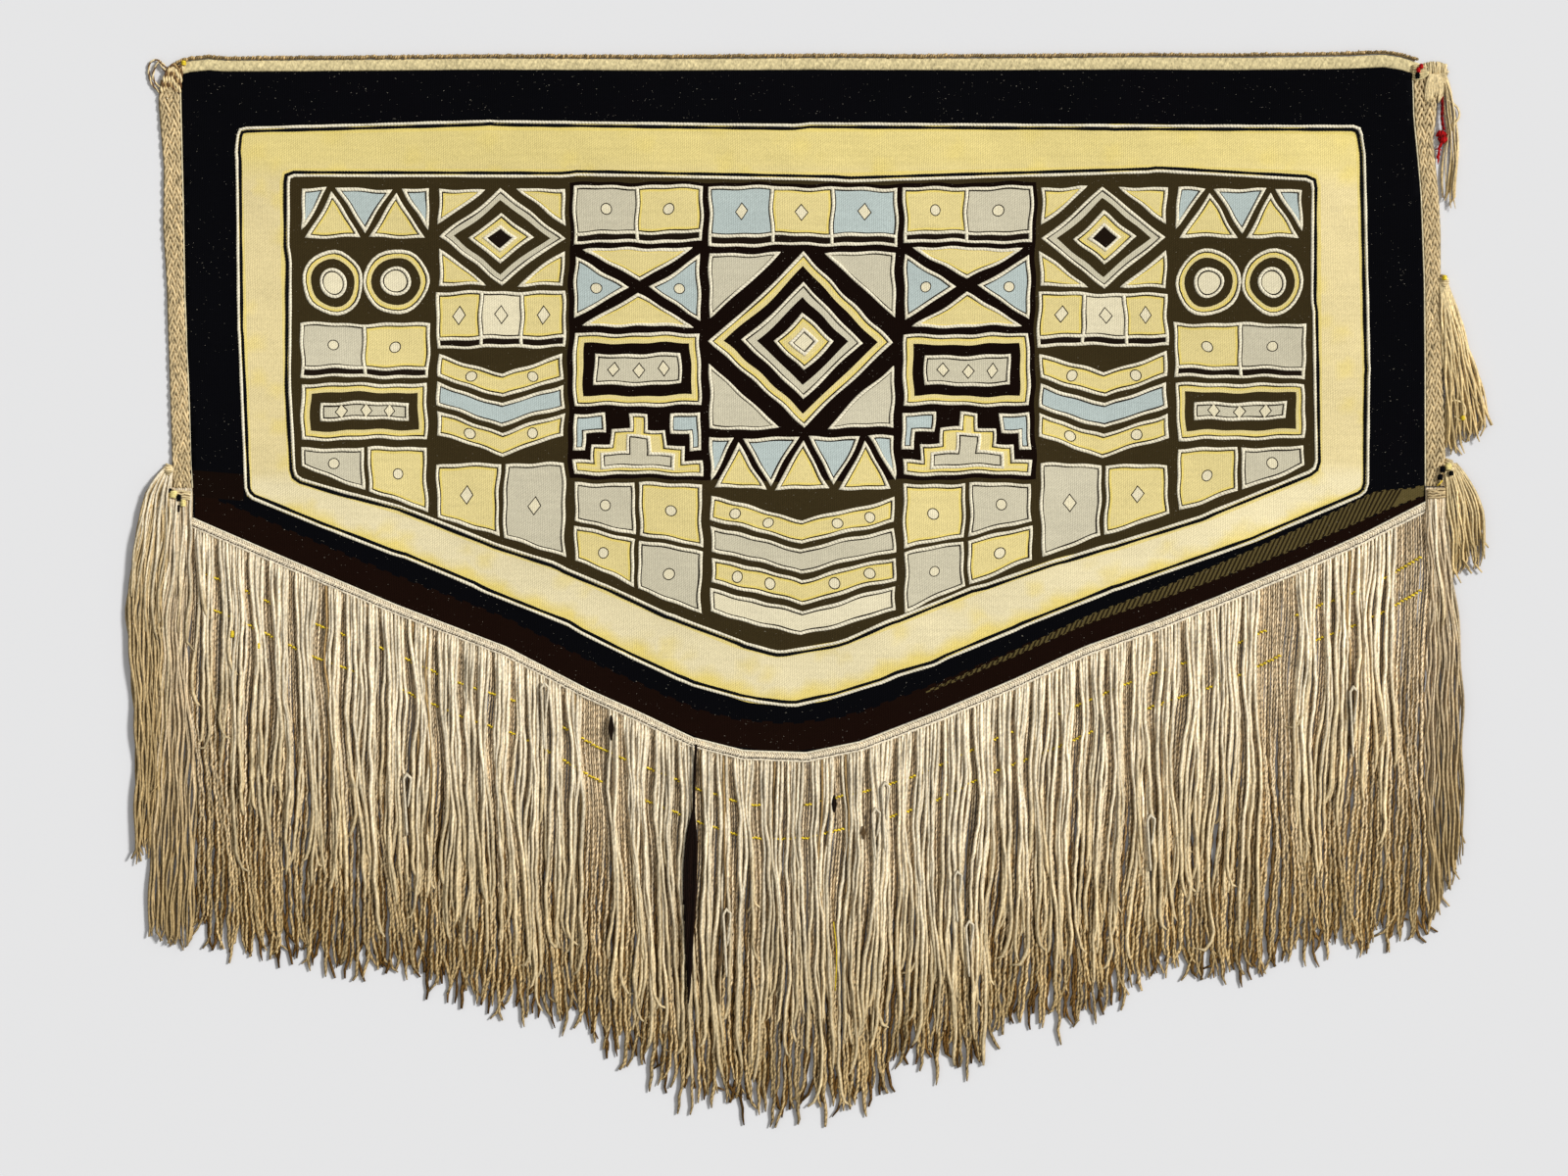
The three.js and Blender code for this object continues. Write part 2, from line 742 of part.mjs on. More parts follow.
// A slack bight of yarn at the top corner, closed by its own small knot.
function cornerLoop(side) {
  const steps = 18;
  const { y, halfWidth, halfLength, tail } = CORNER_LOOP;
  const centreX = bandOuterX(side, side.bandTop) + side.outward * (SEAM_GAP + halfWidth);
  const half = LOOP_YARN / 2;
  const rings = Array.from({ length: steps }, (_, i) => {
    const angle = (2 * Math.PI * i) / steps;
    const out = new THREE.Vector2(Math.cos(angle), Math.sin(angle));
    const at = (aside, z) => {
      return new THREE.Vector3(
        centreX + out.x * (halfWidth - half + aside),
        y + out.y * (halfLength - half + aside),
        z,
      );
    };
    return [at(-half, 0), at(half, 0), at(0.7 * half, 0.9 * LOOP_YARN), at(-0.7 * half, 0.9 * LOOP_YARN)];
  });
  return joined([skinOver(rings, true), knot(beside(side, tail))]);
}

const blanket = new THREE.Group();

function addPiece(name, geometry, colour) {
  const mesh = new THREE.Mesh(geometry, new THREE.MeshStandardMaterial({ color: colour, ...FABRIC }));
  mesh.name = name;
  blanket.add(mesh);
}

addPiece("woven_panel", wovenPanel(), COLOURS.black);
addPiece("heading_strip", headingStrip(), COLOURS.cream);
addPiece("heading_whipping", headingWhipping(), COLOURS.brown);
addPiece("side_braid_left", sideBraid(LEFT), COLOURS.yarn);
addPiece("side_braid_right", sideBraid(RIGHT), COLOURS.yarn);
addPiece(
  "fringe_left",
  fringeHalf({
    edge: PANEL_LOWER_LEFT,
    outward: -1,
    block: { clear: 2, outerX: -806 },
    fan: CORNER_FAN_LEFT,
    seed: 11,
  }),
  COLOURS.yarn,
);
addPiece(
  "fringe_right",
  fringeHalf({
    edge: PANEL_LOWER_RIGHT,
    outward: 1,
    block: { clear: SEAM_GAP, outerX: 818 },
    fan: CORNER_FAN_RIGHT,
    seed: 23,
  }),
  COLOURS.yarn,
);
addPiece("tassel_left", tassel(beside(LEFT, TASSEL_LEFT.head), TASSEL_LEFT, 31), COLOURS.yarn);
addPiece("tassel_right_upper", tassel(TASSEL_RIGHT_UPPER.head, TASSEL_RIGHT_UPPER, 37), COLOURS.yarn);
addPiece(
  "tassel_right_middle",
  tassel(beside(RIGHT, TASSEL_RIGHT_MIDDLE.head), TASSEL_RIGHT_MIDDLE, 41),
  COLOURS.yarn,
);
addPiece(
  "tassel_right_lower",
  tassel(beside(RIGHT, TASSEL_RIGHT_LOWER.head), TASSEL_RIGHT_LOWER, 43),
  COLOURS.yarn,
);
addPiece("red_tie", redTie(), COLOURS.red);
addPiece("corner_loop", cornerLoop(LEFT), COLOURS.yarn);

export default blanket;
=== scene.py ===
# A chilkat blanket laid flat and face up: the cloth, its raised lines, braided edges, tassels and fringe.
# Lengths are millimetres and become metres where a mesh is made. +X is right, +Y is towards the heading.
import math

import bpy
import numpy as np
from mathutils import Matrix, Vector
from mathutils.geometry import delaunay_2d_cdt


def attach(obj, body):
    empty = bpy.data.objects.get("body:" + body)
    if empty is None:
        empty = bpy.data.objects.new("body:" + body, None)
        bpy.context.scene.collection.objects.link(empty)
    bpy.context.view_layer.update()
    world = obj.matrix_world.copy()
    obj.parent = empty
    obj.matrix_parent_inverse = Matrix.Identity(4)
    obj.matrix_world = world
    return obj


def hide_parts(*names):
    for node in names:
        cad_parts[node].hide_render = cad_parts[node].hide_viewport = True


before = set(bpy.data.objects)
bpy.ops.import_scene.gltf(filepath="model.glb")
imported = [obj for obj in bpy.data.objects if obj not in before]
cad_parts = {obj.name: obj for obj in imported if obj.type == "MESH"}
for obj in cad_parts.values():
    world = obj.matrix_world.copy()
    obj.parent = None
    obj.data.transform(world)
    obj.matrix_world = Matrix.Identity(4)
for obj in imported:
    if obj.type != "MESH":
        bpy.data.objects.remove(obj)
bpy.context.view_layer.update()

MM = 0.001

# Driving dimensions
CLOTH_BACK_Z = 0.2
CLOTH_TOP_Z = 3.0
CLOTH_MESH_STEP = 9.0
EDGE_STEP = 8.0
LINE_WHITE_HALF = 2.0
LINE_BLACK_HALF = 2.1
LINE_BLACK_ASIDE = 4.1  # from the middle of the white braid to the middle of its black companion
LINE_RISE = 1.5
LINE_BEAD = 4.2  # one twined bead of a border braid
OUTLINE_HALF = 2.1
OUTLINE_RISE = 1.1
OUTLINE_STEP = 4.0
DARK_LINE = 1.25  # the thin dark line inside an outline
GOLD_RIM = 2.5  # the deeper rim of a yellow patch
BORDER_RIM = 9.0  # how far the deeper edge of the yellow border reaches in from the middle of its white line
PATCH_INSET = 2.2  # how far a patch is drawn in, so that the ground shows around it
SEAM_GAP = 0.3
FOOTING_WIDTH = 13.6
FOOTING_TOP_Z = 4.2
PLAIT_STRANDS = 10
PLAIT_PERIOD = 118.0
PLAIT_YARN = 1.9
PLAIT_BASE_Z = 3.0
PLAIT_RISE = 1.0
STITCH_PITCH = 3.1
WARP_PITCH = 3.0
WARP_RADIUS = 1.5
YARN_PITCH = 4.8
YARN_RADIUS = 2.45
# How much of the fringe's length the front yarns reach, from the middle out
FRONT_SHARES = (0.83, 0.79, 0.73, 0.5)
FOOTING_STITCH_PITCH = 4.4
FOOTING_GRAIN_PITCH = 3.1
CORNER_EASE = 10
CHEVRON_GAP = 7.0
RING_STEP = 11.0
TWIST_PITCH = 9.0
TWIST_SHIFT = 1.37  # sets the twist of each yarn going at a place of its own
SHADE_TINT = np.array([1, 1.25, 1.7])  # how much faster green and blue fade in the painted shade, so that it turns brown
YARN_SHADE = 0.92  # how much darker painted shade makes the underside of a loose yarn
YELLOW_ROWS = (68, 110)  # how far the rows of yellow twining lie below the cloth's edge

# The raised lines that frame the yellow border, at the middle of their white braid.
OUTER_LINE = [
    (709, 362), (400, 366.5), (0, 365.5), (-400, 367.5), (-721.5, 361.5), (-724.5, 329), (-719, 102.5),
    (-712, -109), (-613, -149), (-517.5, -184), (-411, -226.6), (-292.5, -277.5), (-229, -311), (-149, -346),
    (-70, -371.5), (-19, -376), (30, -369), (109.5, -340), (173, -317.5), (269, -279), (396, -228),
    (577.5, -166), (720, -102), (721, 55), (713.5, 340),
]
INNER_LINE = [
    (650, 297.5), (449, 305.5), (50, 295), (-300, 300), (-659, 301), (-657, 200), (-654, 22.5), (-648, -84),
    (-581, -102.5), (-507.5, -124), (-393, -169), (-314, -194), (-252.5, -222.5), (-165, -260), (-85, -292.5),
    (-34, -306), (46, -292.5), (110, -267.5), (222.5, -223), (321, -187.5), (397.5, -169), (514, -131),
    (652.5, -74), (651, 137),
]
# How far down the fringe reaches, from left to right.
FRINGE_TIPS = [
    (-860, -569), (-837.5, -581), (-819, -675), (-712.5, -694), (-587.5, -710), (-475, -722.5), (-400, -767),
    (-287.5, -769), (-260, -817), (-200, -837.5), (-175, -867), (-94, -881), (-25, -894), (62.5, -891),
    (102.5, -877.5), (122.5, -833), (229, -835), (244, -782.5), (325, -777.5), (412.5, -750), (441, -722),
    (591, -717.5), (624, -687.5), (805, -675), (815, -581), (860, -570),
]
# The dark hatching of the olive stripe
HATCH_ENDS = (165, 750)
HATCH_PITCH = 6.6
HATCH_WIDTH = 3.2
HATCH_LEAN = 0.6
# The olive stripe above the right lower edge: places across, and the heights of its sides above the edge.
STRIPE = [(156, 400, 550, 729, 775, 791), (29, 27, 21, 16, 10, 8), (31, 38, 40, 45, 25, 21)]
# The fringe's slow sway: reach, wavelength across, wavelength down, start.
SWAYS = [(3.4, 170, 420, 0.4), (1.4, 61, 190, 2.1), (1.1, 29, 300, 4.4)]
SWAY_STARTS_OVER = 110.0
# The unevenness of the cloth's face and of a hand-drawn line: reach, wavelength, heading in degrees, start.
FACE_WAVES = [(0.45, 210, 12, 0.3), (0.35, 120, 74, 1.9), (0.25, 83, 131, 4.0), (0.16, 47, 38, 2.2)]
HAND_WAVES = [(1.5, 190, 20, 1.0), (1.1, 97, 65, 3.3), (0.7, 43, 110, 5.1)]
MOTTLE_WAVES = [(1, 93, 20, 0.4), (0.8, 47, 75, 2.0), (0.6, 31, 140, 1.0)]
FADE_WAVES = [(1, 900, 15, 0.4), (0.7, 430, 80, 2.0)]

# The camera, the floor and the light, in metres
CAMERA_PLACE = (-0.025, -0.225, 5.556)
CAMERA_LENS = 100
FLOOR_REACH = 12.0
FLOOR_Z = -0.0004
SUN_FROM = (1.2, 0.5, 1.0)
SUN_ENERGY = 3.19
SUN_SPREAD = 12
SKY_STRENGTH = 0.38

# Dyes, as 0 to 255 screen colours
DYES = {
    "black": (7, 7, 10),
    "brown": (24, 11, 6),
    "hatch": (40, 31, 17),
    "soot": (20, 10, 6),
    "olive": (57, 47, 26),
    "stripe": (92, 80, 46),
    "yellow": (230, 212, 146),
    "gold": (236, 213, 118),
    "topmost": (230, 211, 138),
    "pale": (229, 211, 156),
    "cream_low": (236, 222, 178),
    "cream": (236, 225, 190),
    "grey": (209, 201, 174),
    "blue": (186, 198, 193),
    "white": (232, 223, 196),
    "heading": (221, 204, 154),
    "whipping": (186, 160, 114),
    "footing": (238, 225, 198),
    "yarn": (243, 231, 204),
    "yarn_end": (213, 194, 154),
    "warp": (218, 199, 167),
    "warp_end": (180, 157, 113),
    "tassel": (240, 219, 170),
    "tassel_end": (218, 193, 140),
    "knot": (238, 222, 150),
    "umber": (104, 84, 58),
    "tan": (188, 158, 108),
    "stitch": (240, 212, 60),
    "plait": (205, 183, 140),
    "brown_ply": (112, 84, 56),
    "red": (132, 18, 20),
    "scarlet": (188, 28, 30),
    "dark": (30, 21, 14),
}


def linear(dye):
    """A named dye as a linear colour."""
    screen = np.array(DYES[dye]) / 255
    return np.where(screen <= 0.04045, screen / 12.92, ((screen + 0.055) / 1.055) ** 2.4)


def smooth(value, low, high):
    share = np.clip((np.asarray(value, float) - low) / (high - low), 0, 1)
    return share * share * (3 - 2 * share)


def waves_at(x, y, waves):
    """A smooth uneven field."""
    total = 0.0
    for reach, length, heading, start in waves:
        turn = math.radians(heading)
        along = np.asarray(x) * math.cos(turn) + np.asarray(y) * math.sin(turn)
        total = total + reach * np.sin(2 * np.pi * along / length + start)
    return total


def cloth_top(x, y):
    return CLOTH_TOP_Z + 0.6 + waves_at(x, y, FACE_WAVES)


def sway_at(x, y, depth):
    total = 0.0
    for reach, across, down, start in SWAYS:
        total = total + reach * np.sin(2 * np.pi * (x / across + y / down) + start)
    return total * smooth(depth, 0, SWAY_STARTS_OVER) * (1 - smooth(np.abs(x), 780, 880))


# Meshes

class Piece:
    """Collects lofted skins, each point with a dye, and each corner with a place around and along its yarn."""

    def __init__(self):
        self.points, self.dyes, self.corners, self.maps, self.sizes = [], [], [], [], []
        self.count = 0

    def loft(self, rings, dyes, endless=False):
        """A skin over rings of points, capped unless it closes on itself."""
        rings = np.asarray(rings, float)
        rows, size, _ = rings.shape
        steps = np.linalg.norm(np.diff(rings.mean(axis=1), axis=0), axis=1)
        along = np.concatenate([[0.0], np.cumsum(steps)]) + TWIST_SHIFT * (self.count % 97)
        dyes = np.asarray(dyes, float)
        dyes = np.broadcast_to(dyes[:, None] if dyes.ndim == 2 else dyes, (rows, size, 3))
        joins = rows if endless else rows - 1
        row = np.repeat(np.arange(joins), size)
        side = np.tile(np.arange(size), joins)
        after_row = (row + 1) % rows
        after_side = (side + 1) % size
        here = self.count + row * size
        beyond = self.count + after_row * size
        quads = np.stack([here + side, beyond + side, beyond + after_side, here + after_side], axis=1)
        step = along[1] - along[0]
        low = along[row]
        high = np.where(after_row > row, along[after_row], low + step)
        across = np.stack([side, side, side + 1, side + 1], axis=1) / size
        down = np.stack([low, high, high, low], axis=1)
        self.corners.append(quads.ravel())
        self.maps.append(np.stack([across.ravel(), down.ravel()], axis=1))
        self.sizes.append(np.full(len(quads), 4))
        if not endless:
            first = self.count + np.arange(size)
            last = self.count + (rows - 1) * size + np.arange(size)[::-1]
            for cap, place in ((first, along[0]), (last, along[-1])):
                self.corners.append(cap)
                self.maps.append(np.tile([0.0, place], (size, 1)))
                self.sizes.append(np.array([size]))
        self.points.append(rings.reshape(-1, 3))
        self.dyes.append(dyes.reshape(-1, 3))
        self.count += rows * size

    def tube(self, route, radius, dyes, sides=5, painted_shade=YARN_SHADE):
        """A round yarn along a route, with painted shade that makes it darker and browner low on its sides."""
        angles = np.pi / 2 + 2 * np.pi * np.arange(sides) / sides
        section = np.stack([np.cos(angles), np.sin(angles)], axis=1)
        radius = np.broadcast_to(np.asarray(radius, float), (len(route),))
        # Painted shade: the lower a point lies on the section, the darker and browner its colour
        low = ((1 - np.sin(angles)) / 2) ** 0.9
        shade = (1 - painted_shade * low)[:, None] ** SHADE_TINT
        dyes = np.broadcast_to(np.asarray(dyes, float), (len(route), 3))
        rings = swept(route, section[None] * radius[:, None, None])
        self.loft(rings, dyes[:, None] * shade[None])

    def make(self, name, material, slot, *nodes):
        mesh = bpy.data.meshes.new(name)
        points = np.concatenate(self.points) * MM
        corners = np.concatenate(self.corners)
        sizes = np.concatenate(self.sizes)
        dyes = np.concatenate(self.dyes)
        mesh.vertices.add(len(points))
        mesh.vertices.foreach_set("co", points.ravel())
        mesh.loops.add(len(corners))
        mesh.loops.foreach_set("vertex_index", corners.astype(np.int32))
        mesh.polygons.add(len(sizes))
        mesh.polygons.foreach_set("loop_start", (np.cumsum(sizes) - sizes).astype(np.int32))
        mesh.polygons.foreach_set("use_smooth", np.ones(len(sizes), bool))
        mesh.uv_layers.new(name="yarn").data.foreach_set("uv", np.concatenate(self.maps).ravel())
        dye = mesh.color_attributes.new("dye", "FLOAT_COLOR", "POINT")
        dye.data.foreach_set("color", np.hstack([dyes, np.ones((len(dyes), 1))]).ravel())
        mesh.update(calc_edges=True)
        return placed(name, mesh, material, nodes)


def placed(name, mesh, material, nodes):
    piece = bpy.data.objects.new(name, mesh)
    bpy.context.scene.collection.objects.link(piece)
    mesh.materials.append(material)
    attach(piece, "root")
    if nodes:
        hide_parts(*nodes)
    return piece


def swept(route, sections, endless=False):
    """Rings of a section, given as aside and up, carried along a route with mitred corners."""
    route = np.asarray(route, float)
    if endless:
        before, after = np.roll(route, 1, axis=0), np.roll(route, -1, axis=0)
    else:
        before = np.concatenate([route[:1], route[:-1]])
        after = np.concatenate([route[1:], route[-1:]])
    into, out = route - before, after - route
    into_length = np.linalg.norm(into, axis=1, keepdims=True)
    out_length = np.linalg.norm(out, axis=1, keepdims=True)
    into = np.where(into_length > 0, into / np.maximum(into_length, 1e-9), out / np.maximum(out_length, 1e-9))
    out = np.where(out_length > 0, out / np.maximum(out_length, 1e-9), into)
    middle = into + out
    middle /= np.maximum(np.linalg.norm(middle, axis=1, keepdims=True), 1e-9)
    lean = np.maximum((middle * into).sum(axis=1), 0.5)
    side = np.stack([middle[:, 1], -middle[:, 0], np.zeros(len(route))], axis=1)
    side /= np.maximum(np.linalg.norm(side, axis=1, keepdims=True), 1e-9)
    up = np.cross(side, middle)
    sections = np.broadcast_to(sections, (len(route),) + np.shape(sections)[-2:])
    aside = sections[:, :, 0:1] / lean[:, None, None]
    return route[:, None] + aside * side[:, None] + sections[:, :, 1:2] * up[:, None]


def spaced(points, step, closed=True):
    """The route with points added, so that none are further apart than a step."""
    points = [tuple(map(float, point)) for point in points]
    ends = points[1:] + points[:1] if closed else points[1:]
    made = []
    for start, end in zip(points, ends):
        count = max(1, math.ceil(math.dist(start, end) / step))
        for k in range(count):
            made.append(tuple(a + (b - a) * k / count for a, b in zip(start, end)))
    if not closed:
        made.append(points[-1])
    return np.array(made)


def rounded(points, reach):
    """A closed outline with its corners eased over a short reach."""
    points = np.array(points, float)
    made = []
    for before, here, after in zip(np.roll(points, 1, axis=0), points, np.roll(points, -1, axis=0)):
        start = here + (before - here) * min(0.45, reach / np.linalg.norm(before - here))
        end = here + (after - here) * min(0.45, reach / np.linalg.norm(after - here))
        made += [start, 0.25 * start + 0.5 * here + 0.25 * end, end]
    return np.array(made)


def moved_sideways(ring, distance):
    """A closed outline moved to the right of the way it runs."""
    flat = np.column_stack([ring, np.zeros(len(ring))])
    return swept(flat, np.array([[distance, 0.0]]), endless=True)[:, 0, :2]


def inset(ring, distance):
    """A closed outline drawn in by a distance, whichever way it runs."""
    ring = np.asarray(ring, float)
    return moved_sideways(ring, -distance * turning(ring))


def turning(ring):
    """1 for an anticlockwise outline, -1 for a clockwise one."""
    x, y = ring[:, 0], ring[:, 1]
    return 1.0 if np.sum(x * np.roll(y, -1) - y * np.roll(x, -1)) > 0 else -1.0


# What the frame gives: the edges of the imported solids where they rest

def resting_points(node):
    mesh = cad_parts[node].data
    points = np.empty(3 * len(mesh.vertices))
    mesh.vertices.foreach_get("co", points)
    points = points.reshape(-1, 3) / MM
    low = points[points[:, 2] < 0.05][:, :2]
    return np.unique(np.round(low, 2), axis=0)


def rails(node, axis):
    """The two long edges of a band where it rests: places along an axis, and the lowest and highest across it."""
    points = resting_points(node)
    places = np.unique(np.round(points[:, axis], 1))
    low = [points[np.abs(points[:, axis] - place) < 0.1][:, 1 - axis].min() for place in places]
    high = [points[np.abs(points[:, axis] - place) < 0.1][:, 1 - axis].max() for place in places]
    return places, np.array(low), np.array(high)


def panel_outline():
    points = resting_points("woven_panel")
    turn = np.arctan2(points[:, 1], points[:, 0])
    return points[np.argsort(turn)]


OUTLINE = panel_outline()
LOWER = OUTLINE[(OUTLINE[:, 1] < -110)]
LOWER = LOWER[np.argsort(LOWER[:, 0])]


def lower_edge(x):
    return np.interp(x, LOWER[:, 0], LOWER[:, 1])


def fringe_tip(x):
    return np.interp(x, [tip[0] for tip in FRINGE_TIPS], [tip[1] for tip in FRINGE_TIPS])


# Materials

def node_in(tree, kind, **inputs):
    node = tree.nodes.new(kind)
    for name, value in inputs.items():
        socket = node.inputs[int(name[1:])] if name[0] == "i" and name[1:].isdigit() else node.inputs[name]
        if isinstance(value, bpy.types.NodeSocket):
            tree.links.new(value, socket)
        else:
            socket.default_value = value
    return node


def maths(tree, operation, first, second=0.0, third=0.0):
    node = node_in(tree, "ShaderNodeMath", i0=first, i1=second, i2=third)
    node.operation = operation
    return node.outputs[0]


def noise(tree, vector, scale, stretch=(1, 1, 1), detail=2.0):
    mapping = node_in(tree, "ShaderNodeMapping", Vector=vector, Scale=stretch)
    texture = node_in(tree, "ShaderNodeTexNoise", Vector=mapping.outputs[0], Scale=scale, Detail=detail)
    return texture.outputs["Fac"]


def wave(tree, place, period, start=0.0):
    """A smooth wave from -1 to 1 along a place given in metres."""
    return maths(tree, "SINE", maths(tree, "MULTIPLY_ADD", place, 2 * math.pi / period, start))


def tinted(tree, colour, factor):
    """The colour made darker or lighter by a factor around 1."""
    node = node_in(tree, "ShaderNodeVectorMath", i0=colour, i1=factor)
    node.operation = "MULTIPLY"
    return node.outputs[0]


def finished(material, tree, colour, height, strength, distance, shine):
    bump = node_in(tree, "ShaderNodeBump", Height=height, Strength=strength, Distance=distance)
    shader = tree.nodes["Principled BSDF"]
    tree.links.new(colour, shader.inputs["Base Color"])
    tree.links.new(bump.outputs[0], shader.inputs["Normal"])
    shader.inputs["Roughness"].default_value = 0.92
    shader.inputs["Specular IOR Level"].default_value = shine
    return material


def started(name):
    material = bpy.data.materials.new(name)
    material.use_nodes = True
    tree = material.node_tree
    dye = node_in(tree, "ShaderNodeVertexColor")
    dye.layer_name = "dye"
    place = node_in(tree, "ShaderNodeTexCoord").outputs["Object"]
    return material, tree, dye.outputs["Color"], place


def woven_wool(name, rib, strength, lint):
    """Twined weft over warps: upright ribs, slanted stitches across them and slight streaks along each row."""
    material, tree, dye, place = started(name)
    across = node_in(tree, "ShaderNodeSeparateXYZ", Vector=place)
    drift = maths(tree, "MULTIPLY", noise(tree, place, 60, (1, 0.3, 1)), 0.006)
    x = maths(tree, "ADD", across.outputs["X"], drift)
    ribs = wave(tree, x, rib)
    slope = maths(tree, "MULTIPLY_ADD", across.outputs["Y"], 1.0, maths(tree, "MULTIPLY", x, 0.5))
    stitches = wave(tree, slope, 0.0021)
    twined = maths(tree, "MULTIPLY", stitches, maths(tree, "MULTIPLY_ADD", ribs, 0.35, 0.65))
    grain = noise(tree, place, 420, detail=3)
    streaks = noise(tree, place, 30, (0.35, 7, 1), detail=3)
    clouds = noise(tree, place, 9)
    height = maths(tree, "ADD", maths(tree, "MULTIPLY", ribs, 0.3), maths(tree, "MULTIPLY", twined, 0.6))
    height = maths(tree, "ADD", height, maths(tree, "MULTIPLY", grain, 1.6))
    # Painted shade of the weave's relief: the stitches and ribs lighter and darker in colour as well as in the bump;
    # the grain, streaks and clouds are uneven tone
    shade = maths(tree, "MULTIPLY_ADD", twined, 0.09, 0.66)
    shade = maths(tree, "ADD", shade, maths(tree, "MULTIPLY", ribs, 0.015))
    shade = maths(tree, "ADD", shade, maths(tree, "MULTIPLY", grain, 0.38))
    shade = maths(tree, "ADD", shade, maths(tree, "MULTIPLY", streaks, 0.2))
    shade = maths(tree, "ADD", shade, maths(tree, "MULTIPLY", clouds, 0.10))
    speck = maths(tree, "GREATER_THAN", noise(tree, place, 700, (0.5, 1.2, 1), detail=1), lint)
    mixed = node_in(tree, "ShaderNodeMix")
    mixed.data_type = "RGBA"
    tree.links.new(maths(tree, "MULTIPLY", speck, 0.7), mixed.inputs[0])
    tree.links.new(tinted(tree, dye, shade), mixed.inputs[6])
    mixed.inputs[7].default_value = (0.42, 0.38, 0.30, 1)
    return finished(material, tree, mixed.outputs[2], height, strength, 0.0009, 0.03)


def plied_yarn(name, plies, pitch, groove, strength, fuzz):
    """Spun yarn: slanted grooves between the plies, worked out from the place around and along it."""
    material, tree, dye, place = started(name)
    spot = node_in(tree, "ShaderNodeSeparateXYZ", Vector=node_in(tree, "ShaderNodeUVMap").outputs[0])
    turns = maths(tree, "MULTIPLY_ADD", spot.outputs["X"], plies, maths(tree, "DIVIDE", spot.outputs["Y"], pitch))
    ridge = maths(tree, "ABSOLUTE", maths(tree, "SINE", maths(tree, "MULTIPLY", turns, math.pi)))
    grain = noise(tree, place, 620, (1, 0.4, 1), detail=2)
    patches = noise(tree, place, 70)
    deep = maths(tree, "POWER", ridge, 0.5)
    # Painted shade and highlight: the grooves between the plies darker and the ply crowns lighter in colour, besides
    # the bump
    shade = maths(tree, "MULTIPLY_ADD", deep, groove, 0.84 - groove * 0.8)
    flecks = noise(tree, place, 400, (1, 0.7, 1), detail=1)
    shade = maths(tree, "ADD", shade, maths(tree, "MULTIPLY", maths(tree, "SUBTRACT", flecks, 0.5), 1.2 * fuzz))
    shade = maths(tree, "ADD", shade, maths(tree, "MULTIPLY", maths(tree, "SUBTRACT", grain, 0.5), fuzz))
    shade = maths(tree, "ADD", shade, maths(tree, "MULTIPLY", patches, 0.4))
    height = maths(tree, "ADD", deep, maths(tree, "MULTIPLY", grain, 0.8))
    return finished(material, tree, tinted(tree, dye, shade), height, strength, 0.0007, 0.08)


CLOTH = woven_wool("woven_wool_look", 0.0027, 0.36, 0.775)
BRAID = plied_yarn("twined_braid_look", 1, 4.2, 0.3, 0.6, 0.5)
YARN = plied_yarn("soft_yarn_look", 2, TWIST_PITCH, 0.22, 0.4, 0.8)
WARP = plied_yarn("twisted_warp_look", 2, 7.5, 0.8, 0.8, 1.6)


# The woven cloth

def hand_drawn(points):
    """The points moved a little, as a hand-laid line wanders."""
    points = np.asarray(points, float)
    x, y = points[:, 0], points[:, 1]
    return np.column_stack([x + waves_at(x, y, HAND_WAVES), y + waves_at(y, x, HAND_WAVES)])


FIELD_MIDDLE = -1.5
FIELD_TOP = 285
ROW_GAP = 9.0
FIELD_FLOOR = [
    (0, -291), (40, -286), (85, -275), (165, -243), (252, -204), (314, -179), (393, -157), (510, -117),
    (650, -66),
]


class Design:
    """The coloured areas of the cloth in the order they are laid, and the raised outlines on them."""

    def __init__(self):
        self.areas = []
        self.outlines = []

    def area(self, points, dye, wander=False):
        ring = spaced(points, EDGE_STEP)
        if turning(ring) < 0:
            ring = ring[::-1]
        self.areas.append((hand_drawn(ring) if wander else ring, dye))

    def cell(self, ring, dye):
        """A flat area with a thin dark edge, and a deeper rim where the dye is yellow."""
        self.area(ring, "dark", wander=True)
        ring = inset(ring, OUTLINE_HALF + DARK_LINE)
        if dye == "yellow":
            self.area(ring, "gold", wander=True)
            ring = inset(ring, GOLD_RIM)
        self.area(ring, dye, wander=True)

    def patch(self, points, dye, outlined=True):
        """A patch of the field and its mirror: a raised white outline, a thin dark line and the dye within."""
        for ring in both_halves(inset(points, PATCH_INSET) if outlined else points):
            if outlined:
                self.outlines.append((ring, True))
                self.cell(ring, dye)
            else:
                self.area(ring, dye, wander=True)

    def mark(self, points):
        """A small flat cream mark with a thin dark edge."""
        for ring in both_halves(points):
            self.area(ring, "dark", wander=True)
            self.area(inset(ring, DARK_LINE), "cream", wander=True)


def both_halves(points):
    """A patch of the right half and its mirror, or the patch alone where it lies on the middle."""
    points = np.asarray(points, float)
    right = points + np.array([FIELD_MIDDLE, 0])
    if abs(points[:, 0].min() + points[:, 0].max()) < 1:
        return [right]
    left = (points * np.array([-1, 1]))[::-1] + np.array([FIELD_MIDDLE, 0])
    return [right, left]


def box(x0, y0, x1, y1):
    return [(x0, y0), (x1, y0), (x1, y1), (x0, y1)]


def lozenge(x, y, wide, high):
    return [(x + wide, y), (x, y + high), (x - wide, y), (x, y - high)]


def disc(x, y, radius, sides=18):
    angles = 2 * np.pi * np.arange(sides) / sides
    return np.column_stack([x + radius * np.cos(angles), y + radius * np.sin(angles)])


def small_lozenge(x, y):
    return lozenge(x, y, 9, 12)


def small_disc(x, y):
    return disc(x, y, 7.4)


